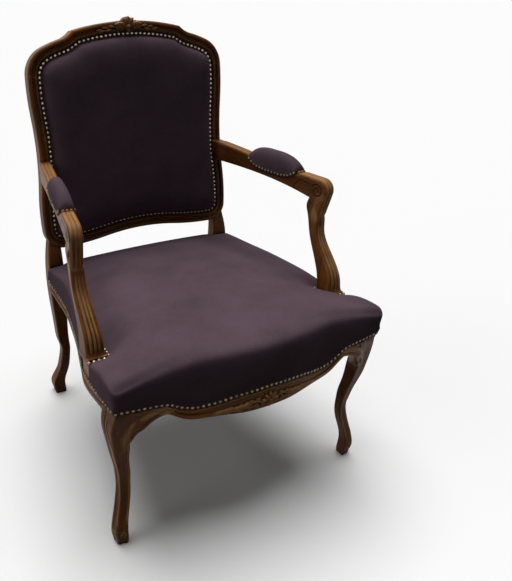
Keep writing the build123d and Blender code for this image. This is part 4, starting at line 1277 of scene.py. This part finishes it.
def leg_edge(tree, sign, edge, z):
    # A place just inside the inner (-1) or outer (1) edge of a front leg, found by halving steps
    def met(x):
        return touch(tree, (sign * x, BEFORE, z), REAR_WAY)

    seen = next((x for x in range(252, 330, 4) if met(x)), None)
    if seen is None:
        return None
    while edge > 0 and met(seen + 4):
        seen += 4
    unseen = seen + edge * 4
    for turn in range(7):
        half_way = (seen + unseen) / 2
        if met(half_way):
            seen = half_way
        else:
            unseen = half_way
    return met(seen - edge * 3.2)


def leg_beads(sign, tag):
    # Beads along both edges of a front leg's face, from the rail down to the toe
    work = ([], [])
    tree = surface_of(["front_leg_" + tag])
    for edge in (-1, 1):
        hits = [leg_edge(tree, sign, edge, z) for z in even(340.0, 54.0, 84)]
        add_bead(work, [hit for hit in hits if hit], 2.3, 1.5)
    new_mesh("carving_leg_" + tag, work, WOOD_Z)


# The knee sweep's line as (x, z) and its section as (across, depth); below the rail it lies on the leg
KNEE_LINE = [(200, 337), (216, 335), (232, 331), (248, 322.5), (262, 309), (272, 294), (280, 277),
             (287, 261), (293, 246)]
KNEE_STEPS = 60
KNEE_ASIDE = 16.0
KNEE_RAIL_Z = 318
KNEE_PASSES = 12
KNEE_SUNK = 7.0
KNEE_DEEP = 24.0
KNEE_SECTION = ((0.0, KNEE_DEEP), (0.0, 0.0), (0.8, -3.0), (3.0, -4.8), (6.0, -4.8), (8.2, -3.4),
                (9.0, -1.6), (10.0, -3.2), (12.5, -4.4), (16.0, -4.2), (20.0, -1.0), (27.0, 4.0),
                (27.0, KNEE_DEEP))


def knee_spot(k):
    # A place on the sweep's line, k points along it
    j = min(int(k), len(KNEE_LINE) - 2)
    before = KNEE_LINE[max(j - 1, 0)]
    after = KNEE_LINE[min(j + 2, len(KNEE_LINE) - 1)]
    return [hermite(low, high, (high - old) / 2, (new - low) / 2, k - j)
            for old, low, high, new in zip(before, KNEE_LINE[j], KNEE_LINE[j + 1], after)]


def knee_carving(sign, tag):
    # The sweep of the front rail's moulding into the inner edge of a front leg
    tree = surface_of(["front_leg_" + tag])
    last = KNEE_STEPS
    spots = [knee_spot(i / last * (len(KNEE_LINE) - 1)) for i in range(last + 1)]
    deep = []
    for x, z in spots:
        hit = touch(tree, (sign * (x + KNEE_ASIDE), BEFORE, z), REAR_WAY) if z < KNEE_RAIL_Z else None
        deep.append(hit[0].y if hit else front_y(x))
    for turn in range(KNEE_PASSES):
        deep = [(deep[max(i - 1, 0)] + deep[i] + deep[min(i + 1, last)]) / 3 for i in range(last + 1)]
    rings = []
    for i, (x, z) in enumerate(spots):
        ax, az = spots[max(i - 1, 0)]
        bx, bz = spots[min(i + 1, last)]
        way = Vector((bx - ax, bz - az)).normalized()
        size = min(1.0, 0.25 + i / 8, 0.25 + (last - i) / 20)
        y = deep[i] + max(0.0, 1.0 - (last - i) / 18) * KNEE_SUNK
        rings.append([Vector((sign * (x - way.y * across * size), y + back, z + way.x * across * size))
                      for across, back in KNEE_SECTION])
    # The sweep takes the lighter walnut of the front rail: painted light
    ring_mesh("carving_knee_" + tag, rings[::sign], WOOD_FRONT_PAINTED_LIGHT)


crest_carving()
rail_carving()
for sign, tag in SIDES:
    arm_reeds(sign, tag)
    arm_lines(sign, tag)
    toe_carving(sign, tag)
    leg_beads(sign, tag)
    knee_carving(sign, tag)

# Nails
NAIL_ROWS = ((1.0, -0.5), (1.0, 0.35), (0.9, 1.35), (0.66, 2.2), (0.34, NAIL_H))
NAIL_PARTS = 10
NAIL_TOP = NAIL_H + 0.15
LOW_NAILS_V = 62.0
# Rows of nails inside the rabbets and over the pads' lower edges, and the levels of their seats on the back
FRONT_ROW_IN = RABBET_IN + 6.2
FRONT_ROW_Q = -7.4
REAR_ROW_IN = REAR_RABBET_IN + 6.5
REAR_ROW_Q = REAR_Q - 1.5
PAD_ROW_UP = 6.2


def nail_row(name, spots, material):
    work = ([], [])
    for point, normal in spots:
        lean = Vector((random.uniform(-1, 1), random.uniform(-1, 1), random.uniform(-1, 1))) * 0.07
        n = (Vector(normal).normalized() + lean).normalized()
        size = NAIL_R * random.uniform(0.96, 1.03)
        rows = [(size * k, h) for k, h in NAIL_ROWS]
        add_boss(work, point, n, n.orthogonal().normalized(), rows, NAIL_TOP, NAIL_PARTS)
    new_mesh(name, work, material)


def spaced(points, pitch, closed=False):
    # Even steps along a run of points
    if closed:
        points = points + [points[0]]
    lengths = [(b - a).length for a, b in zip(points, points[1:])]
    total = sum(lengths)
    count = max(1, round(total / pitch))
    most = count if closed else count + 1
    out = []
    travelled = 0.0
    want = 0.0
    for a, b, run in zip(points, points[1:], lengths):
        while want <= travelled + run + 1e-6 and len(out) < most:
            out.append(a.lerp(b, (want - travelled) / run if run else 0.0))
            want += total / count
        travelled += run
    return out


front_loop = [on_back(u, v, FRONT_ROW_Q) for u, v in back_ring(FRONT_ROW_IN)]
back_spots = [(p, back_out) for p in spaced(front_loop, NAIL_PITCH, True)]
low_row = on_back(0, LOW_NAILS_V, 0).z
nail_row("nails_back", [spot for spot in back_spots if spot[0].z >= low_row], BRASS)
# The back's lowest nails take the darker brass: painted shade under the cushion's bulge
nail_row("nails_back_low", [spot for spot in back_spots if spot[0].z < low_row], BRASS_PAINTED_SHADE)
rear_loop = [on_back(u, v, REAR_ROW_Q) for u, v in back_ring(REAR_ROW_IN)]
nail_row("nails_outside_back", [(p, -back_out) for p in spaced(rear_loop, NAIL_PITCH, True)], BRASS)

corner_x = PLINTH[0] - NAIL_R - 1.2
corner_y = PLINTH[2] - NAIL_R - 1.2
support_run = [Vector((x, corner_y, 0)) for x in even(PLINTH[1] - 2, corner_x, 25)]
support_run += [Vector((corner_x, y, 0)) for y in even(corner_y, PLINTH[3], 25)[1:]]
support_spots = []
for sign in (1, -1):
    for p in spaced(support_run, NAIL_CLOSE):
        point = Vector((sign * p.x, p.y, seat_top(p.x, p.y) + 0.3))
        out_x = -0.35 if p.x < PLINTH[0] else 0.0
        out_y = -0.35 if p.y < PLINTH[2] else 0.0
        support_spots.append((point, (sign * out_x, out_y, 1.0)))
nail_row("nails_arm_supports", support_spots, BRASS)

cloth_d = -CLOTH_OUT - 0.2
front_end = SEAT_CORNER[0]
front_run = [Vector((x, front_y(x, cloth_d), smooth_line(FRONT_NAILS, abs(x))))
             for x in even(1.0 - front_end, front_end - 1.0, 311)]
seat_spots = []
for p in spaced(front_run, NAIL_PITCH):
    ahead = front_y(min(p.x + 1, front_end), -CLOTH_OUT) - front_y(max(p.x - 1, -front_end), -CLOTH_OUT)
    seat_spots.append((p, (ahead / 2, -1, 0)))
for sign in (1, -1):
    run = []
    y = -SEAT_CORNER[1] + 9
    while y < STILE_FRONT - 6:
        run.append(Vector((sign * side_x(y, cloth_d), y, smooth_line(SIDE_NAILS, y))))
        y += 2
    seat_spots += [(p, (sign, 0.0, 0)) for p in spaced(run, NAIL_PITCH)]
rear_run = [Vector((x, SEAT_REAR + 1.8, REAR_NAIL_Z)) for x in (-STILE_IN + 12, STILE_IN - 12)]
seat_spots += [(p, REAR_WAY) for p in spaced(rear_run, NAIL_PITCH)]
# The seat's nails take the darker brass: painted shade on faces turned from the lamps
nail_row("nails_seat", seat_spots, BRASS_PAINTED_SHADE)

pad_spots = []
for sign in (1, -1):
    for side in (1, -1):
        w = side * (ARM_W / 2 + CLOTH_OUT + 0.4)
        normal = (sign * side * arm_side.x, side * arm_side.y, 0)
        run = [on_arm(PAD_START + k * PAD_SHOWN, pad_low(abs(2 * k - 1)) + PAD_ROW_UP, w, sign)
               for k in even(0.03, 0.97, 61)]
        pad_spots += [(p, normal) for p in spaced(run, NAIL_CLOSE)]
# The pads' nails take the darker brass: painted shade
nail_row("nails_arm_pads", pad_spots, BRASS_PAINTED_SHADE)

# Camera at the photograph's place
CAMERA_AZ = radians(-26.565)
CAMERA_EL = radians(28.007)
CAMERA_PLACE = (-0.6328, -1.11745, 1.0821)
back_axis = Vector((sin(CAMERA_AZ) * cos(CAMERA_EL), -cos(CAMERA_AZ) * cos(CAMERA_EL), sin(CAMERA_EL)))
right_axis = Vector((cos(CAMERA_AZ), sin(CAMERA_AZ), 0))
turn = Matrix((right_axis, back_axis.cross(right_axis), back_axis)).transposed().to_4x4()
cam_data = bpy.data.cameras.new("camera")
cam_data.sensor_fit = "VERTICAL"
cam_data.sensor_height = 36.0
cam_data.lens = 37.90
cam_data.shift_x = 0.1654
cam_data.clip_end = 200
cam = new_object("camera", cam_data)
cam.matrix_world = Matrix.Translation(CAMERA_PLACE) @ turn
scene = bpy.context.scene
scene.camera = cam
scene.view_settings.view_transform = "Standard"

# Floor, world and lamps: seen straight or mirrored, the ground and the sky are white
FLOOR_HALF = 60
FLOOR_BOUNCE = 0.05
FLOOR_SEEN = 0.965
SKY_LIGHT = 0.05


def seen_white(tree, low, high):
    path = tree.nodes.new("ShaderNodeLightPath").outputs
    seen = maths(tree, "MAXIMUM", path["Is Camera Ray"], path["Is Glossy Ray"])
    seen = maths(tree, "MAXIMUM", seen, path["Is Transmission Ray"])
    return map_range(tree, seen, 0.0, 1.0, low, high)


def add_sun(name, energy, spread, way):
    data = bpy.data.lights.new(name, "SUN")
    data.energy = energy
    data.angle = radians(spread)
    lamp = new_object(name, data)
    lamp.rotation_euler = Vector(way).to_track_quat("Z", "Y").to_euler()


floor_mat, tree, shader = new_material("floor")
wire(tree, shader, {
    "Base Color": seen_white(tree, FLOOR_BOUNCE, FLOOR_SEEN),
    "Roughness": 0.9,
    "Specular IOR Level": 0.05,
})
floor_mesh = bpy.data.meshes.new("floor")
corners = [(FLOOR_HALF * x, FLOOR_HALF * y, 0) for x, y in ((-1, -1), (1, -1), (1, 1), (-1, 1))]
floor_mesh.from_pydata(corners, [], [(0, 1, 2, 3)])
floor_mesh.materials.append(floor_mat)
floor_obj = new_object("floor", floor_mesh)

world = bpy.data.worlds.new("studio")
scene.world = world
world.use_nodes = True
tree = world.node_tree
wire(tree, tree.nodes["Background"], {"Color": (1, 1, 1, 1), "Strength": seen_white(tree, SKY_LIGHT, 1.0)})
add_sun("sun_top", 2.85, 50, (0.06, 0.24, 1.0))
add_sun("sun_left", 0.55, 40, (-1.0, 0.14, 0.45))
